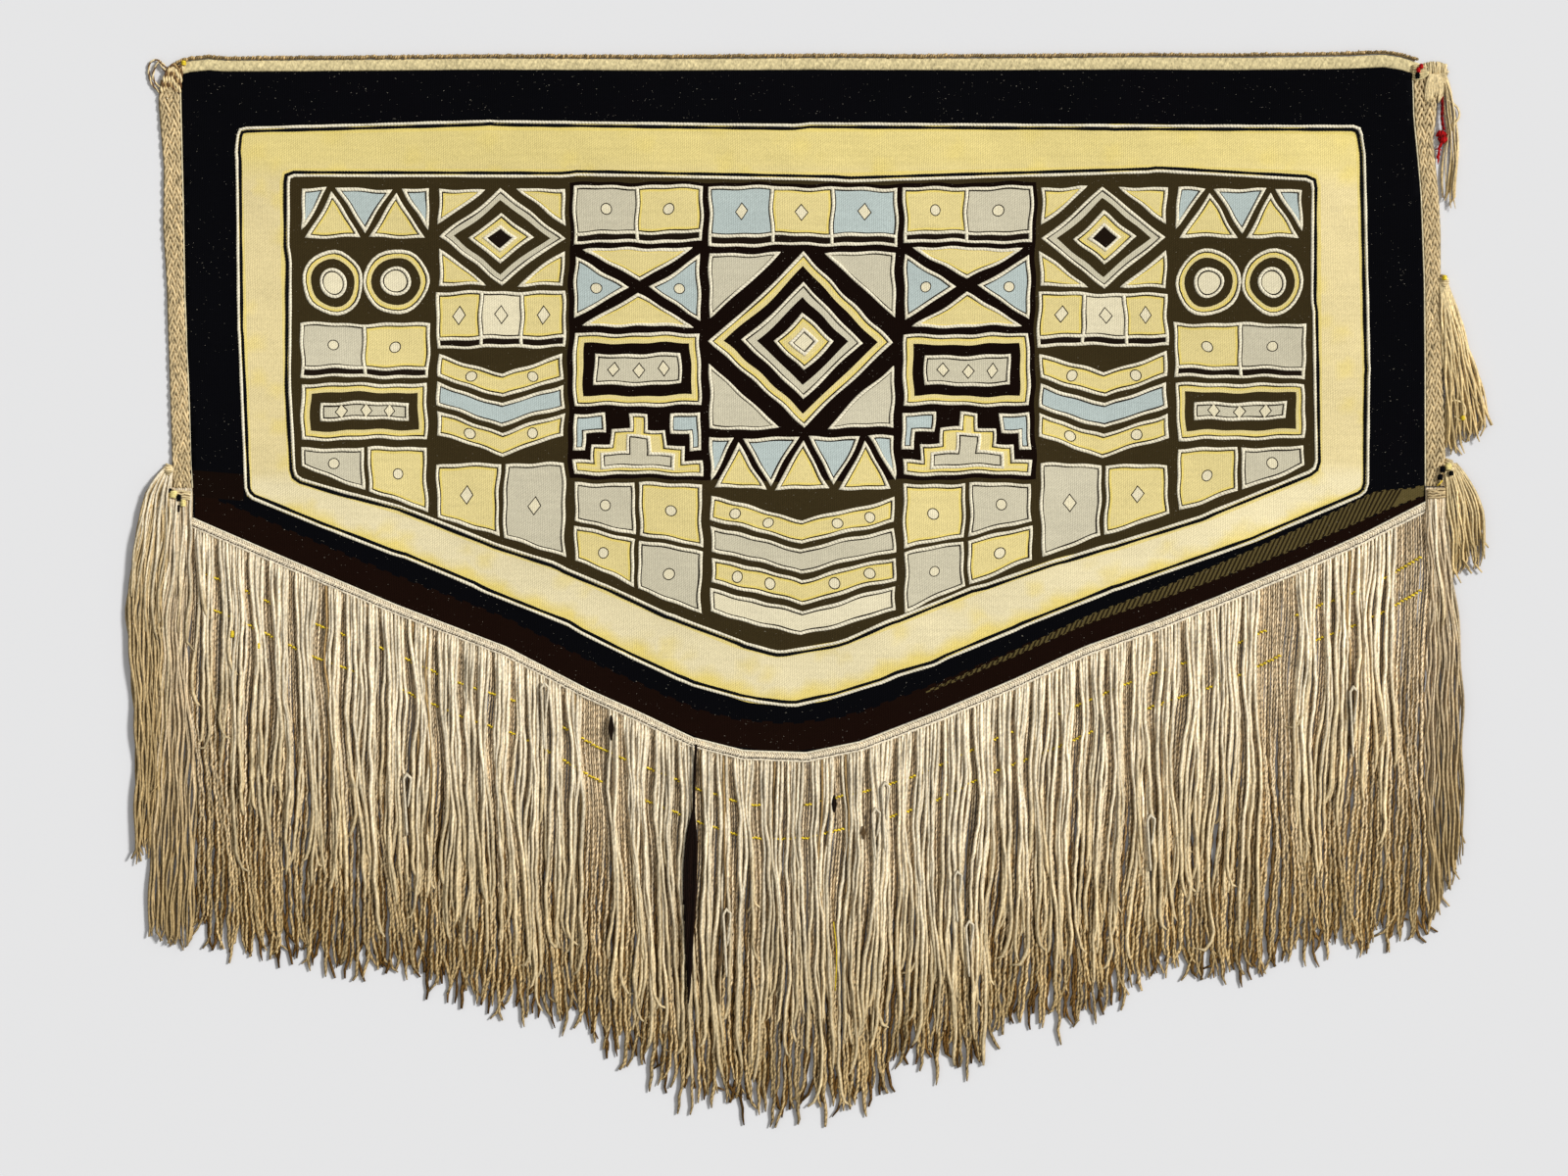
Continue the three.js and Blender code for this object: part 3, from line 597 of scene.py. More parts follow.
def nest(design, x, y, wide, high, dyes, step, corner):
    """Lozenges one inside the next, and a triangle in each corner around them."""
    for k, dye in enumerate(dyes):
        share = 1 - k * step
        design.patch(lozenge(x, y, wide * share, high * share), dye, outlined=k % 2 == 0 or k == len(dyes) - 1)
    for across in (-1, 1) if x else (1,):
        for up in (-1, 1):
            near = [(x + across * wide, y + up * high), (x + across * wide, y + up * 0.25 * high),
                    (x + across * 0.25 * wide, y + up * high)]
            design.patch(near[::across * up], corner)


def windows(design, x0, y0, x1, y1, dyes, mark):
    """Cells side by side in one frame, each with a small mark and a dark sill."""
    sill = y0 + 0.16 * (y1 - y0)
    for ring in both_halves(box(x0, y0, x1, y1)):
        design.outlines.append((ring, True))
        design.area(ring, "dark", wander=True)
    width = (x1 - x0) / len(dyes)
    for k, dye in enumerate(dyes):
        left = x0 + k * width
        for ring in both_halves(box(left, sill, left + width, y1)):
            design.cell(ring, dye)
        design.mark(mark(left + width / 2, (sill + y1) / 2))
        if k:
            for ring in both_halves([(left, y0), (left, y1)]):
                design.outlines.append((ring, False))
    for ring in both_halves([(x0, sill), (x1, sill)]):
        design.outlines.append((ring, False))


def hourglass(design, x0, y0, x1, y1, upright, aside):
    x, y = (x0 + x1) / 2, (y0 + y1) / 2
    pull = 8
    design.patch([(x0 + pull, y1), (x, y + pull), (x1 - pull, y1)], upright)
    design.patch([(x0 + pull, y0), (x1 - pull, y0), (x, y - pull)], upright)
    for side, edge in ((-1, x0), (1, x1)):
        design.patch([(edge, y1 - pull), (edge, y0 + pull), (x + side * pull * 1.6, y)][::side], aside)
        design.mark(small_disc(x + side * 0.33 * (x1 - x0), y))


def zigzag(design, x0, y0, x1, y1, teeth, below, above):
    """Triangles standing on the lower edge, and others hanging between them."""
    wide = (x1 - x0) / teeth
    gap = 5
    for k in range(teeth if x0 > 0 else (teeth + 1) // 2):
        left = x1 - (k + 1) * wide
        design.patch([(left + gap, y0), (left + wide - gap, y0), (left + wide / 2, y1 - gap)], below)
    for k in range(teeth - 1 if x0 > 0 else teeth // 2):
        middle = x1 - (k + 1) * wide
        design.patch([(middle - wide / 2 + gap, y1), (middle, y0 + gap), (middle + wide / 2 - gap, y1)], above)
    for side, edge in ((-1, x0), (1, x1)) if x0 > 0 else ((1, x1),):
        design.patch([(edge, y1), (edge, y0 + 2 * gap), (edge - side * (wide / 2 - gap), y1)][::-side], above)


def stairs(design, x0, y0, x1, y1, steps, dye, heart):
    """A stepped pyramid with a smaller one of another dye in it."""
    def pyramid(x0, y0, x1, y1, steps):
        rise = (y1 - y0) / steps
        tread = (x1 - x0) / (2 * steps - 1)
        left = []
        right = []
        for k in range(steps):
            left += [(x0 + k * tread, y0 + k * rise), (x0 + k * tread, y0 + (k + 1) * rise)]
            right += [(x1 - k * tread, y0 + k * rise), (x1 - k * tread, y0 + (k + 1) * rise)]
        return right + left[::-1]
    design.patch(pyramid(x0, y0, x1, y1, steps), dye)
    wide, high = x1 - x0, y1 - y0
    design.patch(pyramid(x0 + 0.22 * wide, y0 + 0.1 * high, x1 - 0.22 * wide, y1 - 0.34 * high, 2), heart)
    for side, edge in ((1, x0), (-1, x1)):
        upper = [(edge, y1), (edge, y0 + 0.4 * high), (edge + side * 0.1 * wide, y0 + 0.4 * high),
                 (edge + side * 0.1 * wide, y0 + 0.68 * high), (edge + side * 0.25 * wide, y0 + 0.68 * high),
                 (edge + side * 0.25 * wide, y1)]
        design.patch(upper[::side], "blue")


def chevrons(design, x0, y0, x1, y1, dyes, drop, marks):
    """Stripes bent to a point in the middle, one below the next, with marks along the yellow ones."""
    x = (x0 + x1) / 2
    high = (y1 - y0 - drop - CHEVRON_GAP * (len(dyes) - 1)) / len(dyes)
    for k, dye in enumerate(dyes):
        top = y1 - k * (high + CHEVRON_GAP)
        low = top - high
        design.patch([(x0, low), (x, low - drop), (x1, low), (x1, top), (x, top - drop), (x0, top)], dye)
        for share in marks if dye == "yellow" else ():
            for side in (-1, 1) if x else (1,):
                place = x + side * share * (x1 - x0) / 2
                design.mark(small_disc(place, (top + low) / 2 - drop * (1 - share)))


def frames(design, x0, y0, x1, y1, dyes, step):
    """Frames one inside the next, with a row of marks in the last."""
    for k, dye in enumerate(dyes):
        reach = k * step
        design.patch(box(x0 + reach, y0 + reach, x1 - reach, y1 - reach), dye, outlined=k % 2 == 0)
    for k in range(3):
        design.mark(lozenge(x0 + (x1 - x0) * (0.31 + 0.19 * k), (y0 + y1) / 2, 8, 10))


def roundel(design, x, y, radius, dyes):
    for k, dye in enumerate(dyes):
        design.patch(disc(x, y, radius * (1 - 0.27 * k), 26), dye, outlined=k % 2 == 0)


def slanted(design, x0, x1, top, rows, dyes, mark):
    """Cells above the field's slanting lower edge, in rows."""
    middle = (x0 + x1) / 2
    gap = ROW_GAP / 2
    for c, (left, right) in enumerate([(x0, middle - gap / 2), (middle + gap / 2, x1)]):
        low = [field_floor(left), field_floor(right)]
        for r in range(rows):
            upper = [top + (y - top) * r / rows - (gap if r else 0) for y in low]
            lower = [top + (y - top) * (r + 1) / rows for y in low]
            dye = dyes[(r + c) % len(dyes)]
            design.patch([(left, lower[0]), (right, lower[1]), (right, upper[1]), (left, upper[0])], dye)
            design.mark(mark((left + right) / 2, (sum(upper) + sum(lower)) / 4))


def field_floor(x):
    return float(np.interp(abs(x), [row[0] for row in FIELD_FLOOR], [row[1] for row in FIELD_FLOOR]))


def lay_field(design):
    """The field's own geometric pattern, in columns that are mirrored about the middle."""
    design.area([(296, 292), (-299, 291), (-299, -87), (296, -87)], "soot", wander=True)
    # Middle column
    windows(design, -118, 212, 118, FIELD_TOP, ["blue", "yellow", "blue"], small_lozenge)
    nest(design, 0, 90, 118, 112, ["yellow", "soot", "grey", "soot", "yellow", "cream"], 0.165, "grey")
    zigzag(design, -118, -98, 118, -32, 3, "yellow", "blue")
    chevrons(design, -118, -285, 118, -108, ["yellow", "grey", "yellow", "cream"], 30, marks=(0.36, 0.72))
    # Second column
    windows(design, 129, 218, 291, FIELD_TOP, ["yellow", "grey"], small_disc)
    hourglass(design, 129, 108, 291, 209, "yellow", "blue")
    frames(design, 129, 8, 291, 99, ["yellow", "soot", "grey"], 13)
    stairs(design, 129, -82, 291, -1, 4, "yellow", "grey")
    slanted(design, 129, 291, -92, 2, ["yellow", "grey"], small_disc)
    # Third column
    nest(design, 384, 222, 81, 63, ["grey", "olive", "yellow", "dark"], 0.24, "yellow")
    windows(design, 303, 84, 465, 150, ["yellow", "cream", "yellow"], small_lozenge)
    chevrons(design, 303, -58, 465, 75, ["yellow", "blue", "yellow"], 26, marks=(0.5,))
    slanted(design, 303, 465, -67, 1, ["grey", "yellow"], small_lozenge)
    # Outer column
    zigzag(design, 477, 220, 639, FIELD_TOP, 2, "yellow", "blue")
    for x in (517, 599):
        roundel(design, x, 165, 41, ["yellow", "olive", "cream"])
    windows(design, 477, 44, 639, 112, ["yellow", "grey"], small_disc)
    frames(design, 477, -36, 639, 35, ["yellow", "olive", "grey"], 12)
    slanted(design, 477, 639, -45, 1, ["yellow", "grey"], small_disc)


def toothed(route, reach, tooth):
    """A route with small square steps, as one weft gives way to another."""
    route = spaced(route, tooth, closed=False)
    made = []
    for k, (start, end) in enumerate(zip(route[:-1], route[1:])):
        shift = reach * (0.4 + 0.6 * abs(math.sin(2.3 * k))) * (1 if k % 2 else -1)
        made += [start + (0, shift), end + (0, shift)]
    return made


def strip_along_lower_edge(places, near, far):
    """The two sides of a strip of the lower border, as heights above the cloth's edge at some places along it."""
    xs = np.linspace(places[0], places[-1], 40)
    heights = [np.interp(xs, places, side) for side in (near, far)]
    outer, inner = ([(x, lower_edge(x) + h) for x, h in zip(xs, side)] for side in heights)
    return outer, inner[::-1]


def stripe_side(x, side):
    """A point on one side of the olive stripe: 1 for its lower side, 2 for its upper one."""
    return x, lower_edge(x) + np.interp(x, STRIPE[0], STRIPE[side])


def lay_borders(design):
    design.area(OUTLINE, "black")
    outer, inner = strip_along_lower_edge((-776, 400, 550, 729, 791), (0.5,) * 5, (36, 36, 21, 16, 8))
    design.area(outer + toothed(inner, 1.4, 14), "brown")
    design.area([(-714, -80), (-789, -74), (-782, -108), (-714, -114)], "soot")
    outer, inner = strip_along_lower_edge(*STRIPE)
    design.area(toothed(outer, 1.0, 7) + toothed(inner, 1.0, 7), "stripe")
    for x in np.arange(*HATCH_ENDS, HATCH_PITCH):
        lean = HATCH_LEAN * (stripe_side(x, 2)[1] - stripe_side(x, 1)[1])
        low = [stripe_side(x + across, 1) for across in (0, HATCH_WIDTH)]
        high = [stripe_side(x + lean + across, 2) for across in (HATCH_WIDTH, 0)]
        design.area(low + high, "hatch")
    outer, inner = rounded(OUTER_LINE, CORNER_EASE), rounded(INNER_LINE, CORNER_EASE)
    design.area(outer, "rim")
    design.area(inset(outer, BORDER_RIM), "border")
    design.area(inset(inner, -BORDER_RIM), "rim")
    design.area(inner, "olive")


def lower_run(line):
    """The lower, slanting run of a framing line, as heights over x."""
    run = sorted(point for point in line if point[1] < -60)
    return lambda x: np.interp(x, [x for x, _ in run], [y for _, y in run])


def border_dye(x, y):
    """The yellow border: deepest along the top, paler at its sides, cream below with a golden outer edge."""
    inner, outer = lower_run(INNER_LINE)(x), lower_run(OUTER_LINE)(x)
    share = (inner - y) / (inner - outer)
    ragged = 0.05 * np.sin(x / 7) + 0.04 * np.sin(x / 17 + 1)
    gold = 0.9 * smooth(share + ragged, 0.62, 0.86)
    gold = np.maximum(gold, 0.45 * smooth(waves_at(x, y, MOTTLE_WAVES), 0.7, 1.9))
    cream = smooth(share, -0.3, 0.3) * (1 - gold)
    top = smooth(y, 280, 325)
    side = np.clip(1 - gold - cream - top, 0, 1)
    weights = np.stack([top, side, cream, gold])[..., None]
    dyes = np.array([linear(dye) for dye in ("topmost", "pale", "cream_low", "gold")])
    light = 1 + 0.13 * smooth(x, 300, 690)
    return light[..., None] * (weights * dyes[:, None, None, :]).sum(axis=0) / weights.sum(axis=0)


def coloured_cloth(design):
    """One closed sheet cut along every edge of colour."""
    points = []
    rings = []
    for ring, _ in design.areas:
        # Each ring is a run of places in the list of points
        rings.append(list(range(len(points), len(points) + len(ring))))
        points += [Vector(point) for point in ring]
    low, high = OUTLINE.min(axis=0), OUTLINE.max(axis=0)
    random = np.random.default_rng(3)
    for x in np.arange(low[0] + 5, high[0], CLOTH_MESH_STEP):
        for y in np.arange(low[1] + 5, high[1], CLOTH_MESH_STEP):
            points.append(Vector((x, y)) + Vector(random.uniform(-2, 2, 2)))
    found, _, faces, _, _, origins = delaunay_2d_cdt(points, [], rings, 1, 0.05, True)
    kept = [(face, max(origin)) for face, origin in zip(faces, origins) if origin]
    flat = np.array([tuple(point) for point in found])
    faces = np.array([face for face, _ in kept])
    corner = flat[faces]
    first, second = corner[:, 1] - corner[:, 0], corner[:, 2] - corner[:, 0]
    turn = first[:, 0] * second[:, 1] - first[:, 1] * second[:, 0]
    faces = np.where(turn[:, None] > 0, faces, faces[:, ::-1])
    corner = flat[faces]
    regions = np.array([design.areas[origin][1] for _, origin in kept])
    dyes = np.array([linear("gold" if region in ("border", "rim") else region) for region in regions])
    dyes = dyes[:, None].repeat(3, axis=1)
    border = regions == "border"
    dyes[border] = border_dye(corner[border][..., 0], corner[border][..., 1])
    rim = regions == "rim"
    dyes[rim] = 0.7 * dyes[rim] + 0.3 * border_dye(corner[rim][..., 0], corner[rim][..., 1])
    dyes = dyes * (1 + 0.03 * waves_at(corner[..., 0], corner[..., 1], FADE_WAVES))[..., None]
    pairs = np.concatenate([faces[:, [0, 1]], faces[:, [1, 2]], faces[:, [2, 0]]])
    edges = {tuple(edge) for edge in pairs.tolist()}
    count = len(flat)
    walls = [(b, a, a + count, b + count) for a, b in edges if (b, a) not in edges]
    top = np.column_stack([flat, cloth_top(flat[:, 0], flat[:, 1])])
    back = np.column_stack([flat, np.full(count, CLOTH_BACK_Z)])
    mesh = bpy.data.meshes.new("cloth")
    faces_back = faces[:, ::-1] + count
    sheet = np.concatenate([top, back]) * MM
    mesh.from_pydata(sheet.tolist(), [], faces.tolist() + faces_back.tolist() + walls)
    wall_dyes = np.tile(linear("black"), (4 * len(walls), 1))
    dyes = np.concatenate([dyes.reshape(-1, 3), dyes[:, ::-1].reshape(-1, 3), wall_dyes])
    attribute = mesh.color_attributes.new("dye", "FLOAT_COLOR", "CORNER")
    attribute.data.foreach_set("color", np.hstack([dyes, np.ones((len(dyes), 1))]).ravel())
    smooth_faces = np.arange(len(mesh.polygons)) < 2 * len(faces)
    mesh.polygons.foreach_set("use_smooth", smooth_faces)
    return mesh, np.abs(turn).sum() / 2


def raised_line(piece, route, half, rise, dye, step, closed=True, bead=0.0):
    """A braid lying half sunk in the cloth's face, a little uneven in width."""
    route = spaced(route, step, closed)
    route = np.column_stack([route, cloth_top(route[:, 0], route[:, 1])])
    section = np.array([(1, -0.5), (0.78, 0.62), (0, 1), (-0.78, 0.62), (-1, -0.5)])
    steps = np.linalg.norm(np.diff(route, axis=0), axis=1)
    along = np.concatenate([[0], np.cumsum(steps)])
    swell = 1 + 0.1 * np.sin(along / 23) + 0.08 * np.sin(along / 9 + 1)
    if bead:
        swell = swell + 0.13 * np.cos(2 * np.pi * along / bead)
    sections = section[None] * np.array([half, rise]) * swell[:, None, None]
    piece.loft(swept(route, sections, endless=closed), linear(dye)[None, None], endless=closed)


def border_lines():
    piece = Piece()
    step = LINE_BEAD / 2
    for line, black_side in ((OUTER_LINE, -1), (INNER_LINE, 1)):
        ring = spaced(hand_drawn(rounded(line, CORNER_EASE)), 20)
        raised_line(piece, ring, LINE_WHITE_HALF, LINE_RISE, "white", step, bead=LINE_BEAD)
        aside = moved_sideways(ring, black_side * LINE_BLACK_ASIDE)
        raised_line(piece, aside, LINE_BLACK_HALF, LINE_RISE * 0.9, "black", step, bead=LINE_BEAD)
    return piece.make("border_lines", BRAID, "woven_wool")


def field_lines(design):
    piece = Piece()
    for ring, closed in design.outlines:
        route = hand_drawn(spaced(ring, EDGE_STEP, closed))
        raised_line(piece, route, OUTLINE_HALF, OUTLINE_RISE, "white", OUTLINE_STEP, closed)
    return piece.make("field_lines", BRAID, "cream_wool")


# The heading

def heading_strip():
    """A crowned cream band over the cloth's top edge."""
    places, low, high = rails("heading_strip", 0)
    random = np.random.default_rng(11)
    rings = []
    dyes = []
    for x in np.arange(places[0], places[-1], 3.0):
        foot, top = np.interp(x, places, low), np.interp(x, places, high)
        shares = [0, 0, 0.1, 0.3, 0.5, 0.7, 0.9, 1, 1]
        heights = [0.1, 2.2, 2.9, 3.5, 3.7, 3.5, 2.9, 2.2, 0.1]
        ripple = 0.25 * math.sin(x / 9) + 0.2 * math.sin(x / 23 + 1)
        rings.append([(x, foot + (top - foot) * share, z + (ripple if z > 2.5 else 0))
                      for share, z in zip(shares, heights)][::-1])
        dyes.append(linear("heading") * random.uniform(0.78, 1.08, (9, 1)))
    piece = Piece()
    piece.loft(rings, dyes)
    return piece.make("heading_band", YARN, "cream_wool", "heading_strip")


def heading_whipping():
    """Brown yarn whipped over the very top edge, stitch beside stitch and uneven."""
    places, low, high = rails("heading_whipping", 0)
    piece = Piece()
    random = np.random.default_rng(12)
    for x in np.arange(places[0] + 2, places[-1] - 2, STITCH_PITCH):
        foot, top = np.interp(x, places, low), np.interp(x, places, high)
        reach = (top - foot) * (1 - 0.35 * smooth(x, 350, 650)) * random.uniform(0.85, 1.15)
        height = random.uniform(3.6, 5.4)
        radius = random.uniform(1.0, 1.9)
        turns = np.linspace(0.06, 0.94, 7)
        y = top - radius - (reach - 2 * radius) * (1 - turns) + random.uniform(-0.6, 0.6)
        z = radius + (height - radius) * np.sin(np.pi * turns) ** 0.6
        lean = random.uniform(0.6, 3)
        dye = linear("whipping") * random.uniform(0.45, 1.3)
        piece.tube(np.column_stack([x + lean * (turns - 0.5), y, z]), radius, dye, sides=5, painted_shade=0.6)
    core = [(x, np.interp(x, places, (low + high) / 2), 1.8) for x in np.arange(places[0], places[-1], 12.0)]
    piece.tube(core, 1.8, linear("whipping") * 0.7, sides=6)
    return piece.make("heading_whipping_yarn", YARN, "brown_yarn", "heading_whipping")


# The side bands

def side_plait(node, name, outward, seed):
    """A flat oblique plait: each yarn runs from edge to edge and back, over and under the others."""
    places, low, high = rails(node, 1)
    inner, outer = (high, low) if outward < 0 else (low, high)
    random = np.random.default_rng(seed)
    piece = Piece()
    top, bottom = places[-1], places[0]
    ys = np.arange(top - 1, bottom + 1, -4.0)
    seam, rim = np.interp(ys, places, inner), np.interp(ys, places, outer)
    for k in range(PLAIT_STRANDS):
        phase = (top - ys) / PLAIT_PERIOD + k / PLAIT_STRANDS
        saw = phase % 1
        share = 1 - np.abs(2 * saw - 1)
        margin = PLAIT_YARN / np.abs(rim - seam)
        across = margin + share * (1 - 2 * margin)
        heading = np.where(saw < 0.5, 1, -1)
        near_edge = smooth(np.minimum(share, 1 - share), 0.0, 0.14)
        z = PLAIT_BASE_Z + PLAIT_RISE * heading * near_edge * np.cos(np.pi * PLAIT_STRANDS * phase)
        wander = 0.3 * np.sin(ys / 17 + k)
        route = np.column_stack([seam + across * (rim - seam), ys, z + wander])
        tone = random.uniform(0.85, 1.15) * (1 + 0.1 * np.sin(ys / random.uniform(20, 50) + k))
        tone = tone * (1 - 0.5 * (random.random(len(ys)) < 0.08)) * (1 + 0.08 * random.normal(size=len(ys)))
        piece.tube(route, PLAIT_YARN, linear("plait") * tone[:, None], sides=6, painted_shade=0.4)
    piece.tube(np.column_stack([seam - outward * 0.2, ys, np.full(len(ys), 3.3)]), 1.1, linear("cream") * 0.9)
    # A sheet under the strands in the plait's dye made darker: painted shade seen between the strands
    under = [[(a, y, 0.1), (a, y, 1.4), (b, y, 1.4), (b, y, 0.1)] for a, b, y in zip(seam, rim, ys)]
    under = np.array(under) if outward > 0 else np.array(under)[:, ::-1]
    piece.loft(under, linear("plait") * 0.55)
    return piece.make(name, YARN, "cream_wool", node)


# The footing and the fringe

def footing_frame(x):
    """The point on the cloth's lower edge at x, and the way down from it, square to the edge."""
    step = 6.0
    slope = (lower_edge(x + step) - lower_edge(x - step)) / (2 * step)
    length = math.hypot(1, slope)
    return np.array([x, lower_edge(x)]), np.array([slope, -1]) / length


def footing(from_x, to_x, seed):
    """A cream band below the cloth's edge: a light cord, a grainy face and a fine dark stitched line."""
    random = np.random.default_rng(seed)
    rings = []
    dyes = []
    cord = []
    for x in np.linspace(from_x, to_x, round((to_x - from_x) / 3.5)):
        edge, down = footing_frame(x)
        profile = [(SEAM_GAP, 0.1), (FOOTING_WIDTH, 0.1), (FOOTING_WIDTH, 3.4), (11.8, FOOTING_TOP_Z),
                   (6, FOOTING_TOP_Z), (2.6, 3.6), (SEAM_GAP, 2.4)]
        rings.append([(*(edge + down * out), z + (random.uniform(-0.2, 0.3) if z > 1 else 0))
                      for out, z in profile])
        dyes.append(linear("footing") * random.uniform(0.92, 1.12, (7, 1)))
        cord.append((*(edge + down * 1.6), 3.5))
    piece = Piece()
    piece.loft(rings, dyes)
    piece.tube(cord, 1.3, linear("white"), sides=6, painted_shade=0.2)
    for x in np.arange(from_x + 3, to_x - 3, FOOTING_STITCH_PITCH):
        edge, down = footing_frame(x)
        along = np.array([-down[1], down[0]])
        middle = edge + down * (10.2 + random.uniform(-0.3, 0.3))
        ends = [(*(middle + along * share), FOOTING_TOP_Z + 0.4 * (1 - abs(share) / 2)) for share in (-2, 0, 2)]
        piece.tube(ends, 0.6, linear("umber") * random.uniform(0.2, 0.9), sides=4)
    for x in np.arange(from_x + 3, to_x - 3, FOOTING_GRAIN_PITCH):
        edge, down = footing_frame(x)
        along = np.array([-down[1], down[0]])
        for out, lean in ((4.2, 1.5), (7.4, -1.5)):
            spots = [edge + down * (out + 1.6 * way) + along * lean * way for way in (-1, 0, 1)]
            ends = [(*spot, z) for spot, z in zip(spots, (4.0, 4.7, 4.1))]
            piece.tube(ends, 0.85, linear("footing") * random.uniform(0.9, 1.14), sides=4, painted_shade=0.2)
    return piece.make("footing", YARN, "cream_wool", "fringe_left", "fringe_right")


def hanging_yarn(x, root, tip, level, radius, random, pull, lively):
    """The route of one yarn from its root to its free end, lying on the floor or on the yarns below it."""
    length = math.dist(tip, root[:2])
    count = max(6, int(length / RING_STEP))
    share = np.linspace(0, 1, count)
    y = root[1] + (tip[1] - root[1]) * share
    depth = root[1] - y
    gather = pull * (0.5 + 0.5 * smooth(depth, 8, 75)) * (1 - 0.55 * smooth(depth, 130, 330))
    wiggle = random.normal(0, 4) * share ** 1.5
    for shortest, longest, reach in ((32, 60, 0.75), (80, 150, 1.2), (150, 260, 1.4)):
        start = random.uniform(0, 6.3)
        size = reach * random.uniform(0.3, 1)
        wiggle = wiggle + size * np.sin(2 * np.pi * y / random.uniform(shortest, longest) + start)
    wiggle = lively * wiggle * smooth(depth, 5, 110)
    xs = root[0] + (tip[0] - root[0]) * share + sway_at(x, y, depth) + gather + wiggle
    settled = smooth(depth, 0, 20)
    z = root[2] + (level - root[2]) * settled
    z = z + 0.6 * lively * np.sin(2 * np.pi * y / random.uniform(60, 120) + random.uniform(0, 6.3)) * settled
    z = z - (level - radius - 0.3) * 0.8 * smooth(share, 0.9, 1)
    route = np.column_stack([xs, y, np.maximum(z, radius + 0.15)])
    curl = random.normal(0, 4 + 5 * lively)
    bend = np.array([0.0, 0.12, 0.4, 1.0])
    route[-4:, 0] += curl * bend
    route[-1, 1] += 0.5 * abs(curl)
    return route


def tapered(radius, count, random):
    size = radius * (1 + 0.08 * np.sin(np.arange(count) * random.uniform(0.3, 0.9) + random.uniform(0, 6)))
    size[0] *= 0.7
    size[-1] *= random.uniform(0.3, 0.7)
    size[-2] *= 0.88
    return size


def yarn_dyes(random, dye, tip_dye, count, spread, x=0.0):
    """The dye along a yarn, browner towards its free end, a little uneven and lighter towards the right."""
    tone = random.uniform(1 - spread, 1 + spread) * (1 + 0.16 * smooth(x, 100, 500))
    tone = tone * (1 + 0.09 * np.sin(np.arange(count) * random.uniform(0.2, 0.6) + random.uniform(0, 6)))
    tone = tone * (1 + 0.1 * random.normal(size=count))
    share = smooth(np.linspace(0, 1, count), random.uniform(0.0, 0.4), 1.0)[:, None]
    return (linear(dye) * (1 - share) + linear(tip_dye) * share) * tone[:, None]


def warps(name, from_x, to_x, seed):
    """The straight two-ply warps that hang from the cloth itself and cover the floor."""
    random = np.random.default_rng(seed)
    piece = Piece()
    for k, x in enumerate(np.arange(from_x + WARP_PITCH / 2, to_x, WARP_PITCH)):
        edge, down = footing_frame(x)
        start = edge + down * (FOOTING_WIDTH - 1.5)
        tip = (x, fringe_tip(x) + random.normal(6, 13))
        radius = WARP_RADIUS * random.uniform(0.85, 1.15)
        level = 1.8 + 1.1 * (k % 2) + random.uniform(-0.1, 0.4)
        route = hanging_yarn(x, (*start, 1.7), tip, level, radius, random, 0, 0.25)
        loose = smooth(start[1] - route[:, 1], 110, 290)
        kinks = 1.1 * np.sin(2 * np.pi * route[:, 1] / random.uniform(25, 42) + k)
        route[:, 0] += (kinks + random.normal(0, 1.1)) * loose
        route[:, 2] += 0.5 * loose
        dyes = yarn_dyes(random, "warp", "warp_end", len(route), 0.26, x)
        # Painted shade: every other warp lies lower and is made darker and browner, more so down the fringe, as if
        # shaded by the warps above it
        if k % 2 == 0:
            dyes = dyes * (0.82 - (0.56 - 0.15 * smooth(x, 200, 700)) * loose)[:, None] ** SHADE_TINT
        route[-5:, 0] += random.normal(0, 6) * np.array([0, 0.1, 0.3, 0.6, 1])
        piece.tube(route, tapered(radius, len(route), random) * (1 + 0.4 * loose), dyes, painted_shade=0.95)
    return piece.make(name, WARP, "warp_yarn")


def front_yarns(name, from_x, to_x, seed):
    """The softer cream yarns laid over the warps, drawn together into locks below the footing."""
    random = np.random.default_rng(seed)
    piece = Piece()
    lock_end = from_x
    for k, x in enumerate(np.arange(from_x + YARN_PITCH / 2, to_x, YARN_PITCH)):
        if x > lock_end:
            lock_start, lock_end = lock_end, lock_end + random.uniform(14, 42)
            draw = random.uniform(0.15, 0.55)
            bare = random.random() < np.interp(x, (-760, -700, 560, 720), (0.15, 0.05, 0.05, 0.25))
        if bare:
            continue
        x = x + random.uniform(-0.2, 0.2) * YARN_PITCH
        pull = draw * ((lock_start + lock_end) / 2 - x)
        edge, down = footing_frame(x)
        start = edge + down * (FOOTING_WIDTH - 1)
        share = np.interp(abs(x), (0, 450, 640, 780), FRONT_SHARES) + random.normal(0, 0.065)
        if random.random() < 0.2:
            share += random.uniform(-0.35, 0.2)
        tip_y = start[1] + (fringe_tip(x) - start[1]) * np.clip(share, 0.15, 1)
        radius = YARN_RADIUS * random.uniform(0.85, 1.15)
        shade, tip_shade = "yarn", "yarn_end"
        if random.random() < 0.02:
            shade, tip_shade, radius = "tan", "umber", 1.3
        level = 4.9 + 2.5 * (k % 2) + random.uniform(-0.4, 0.8)
        route = hanging_yarn(x, (*start, 1.9), (x, tip_y), level, radius, random, pull, 1.0)
        piece.tube(route, tapered(radius, len(route), random), yarn_dyes(random, shade, tip_shade, len(route), 0.14, x))
    return piece.make(name, YARN, "cream_wool")


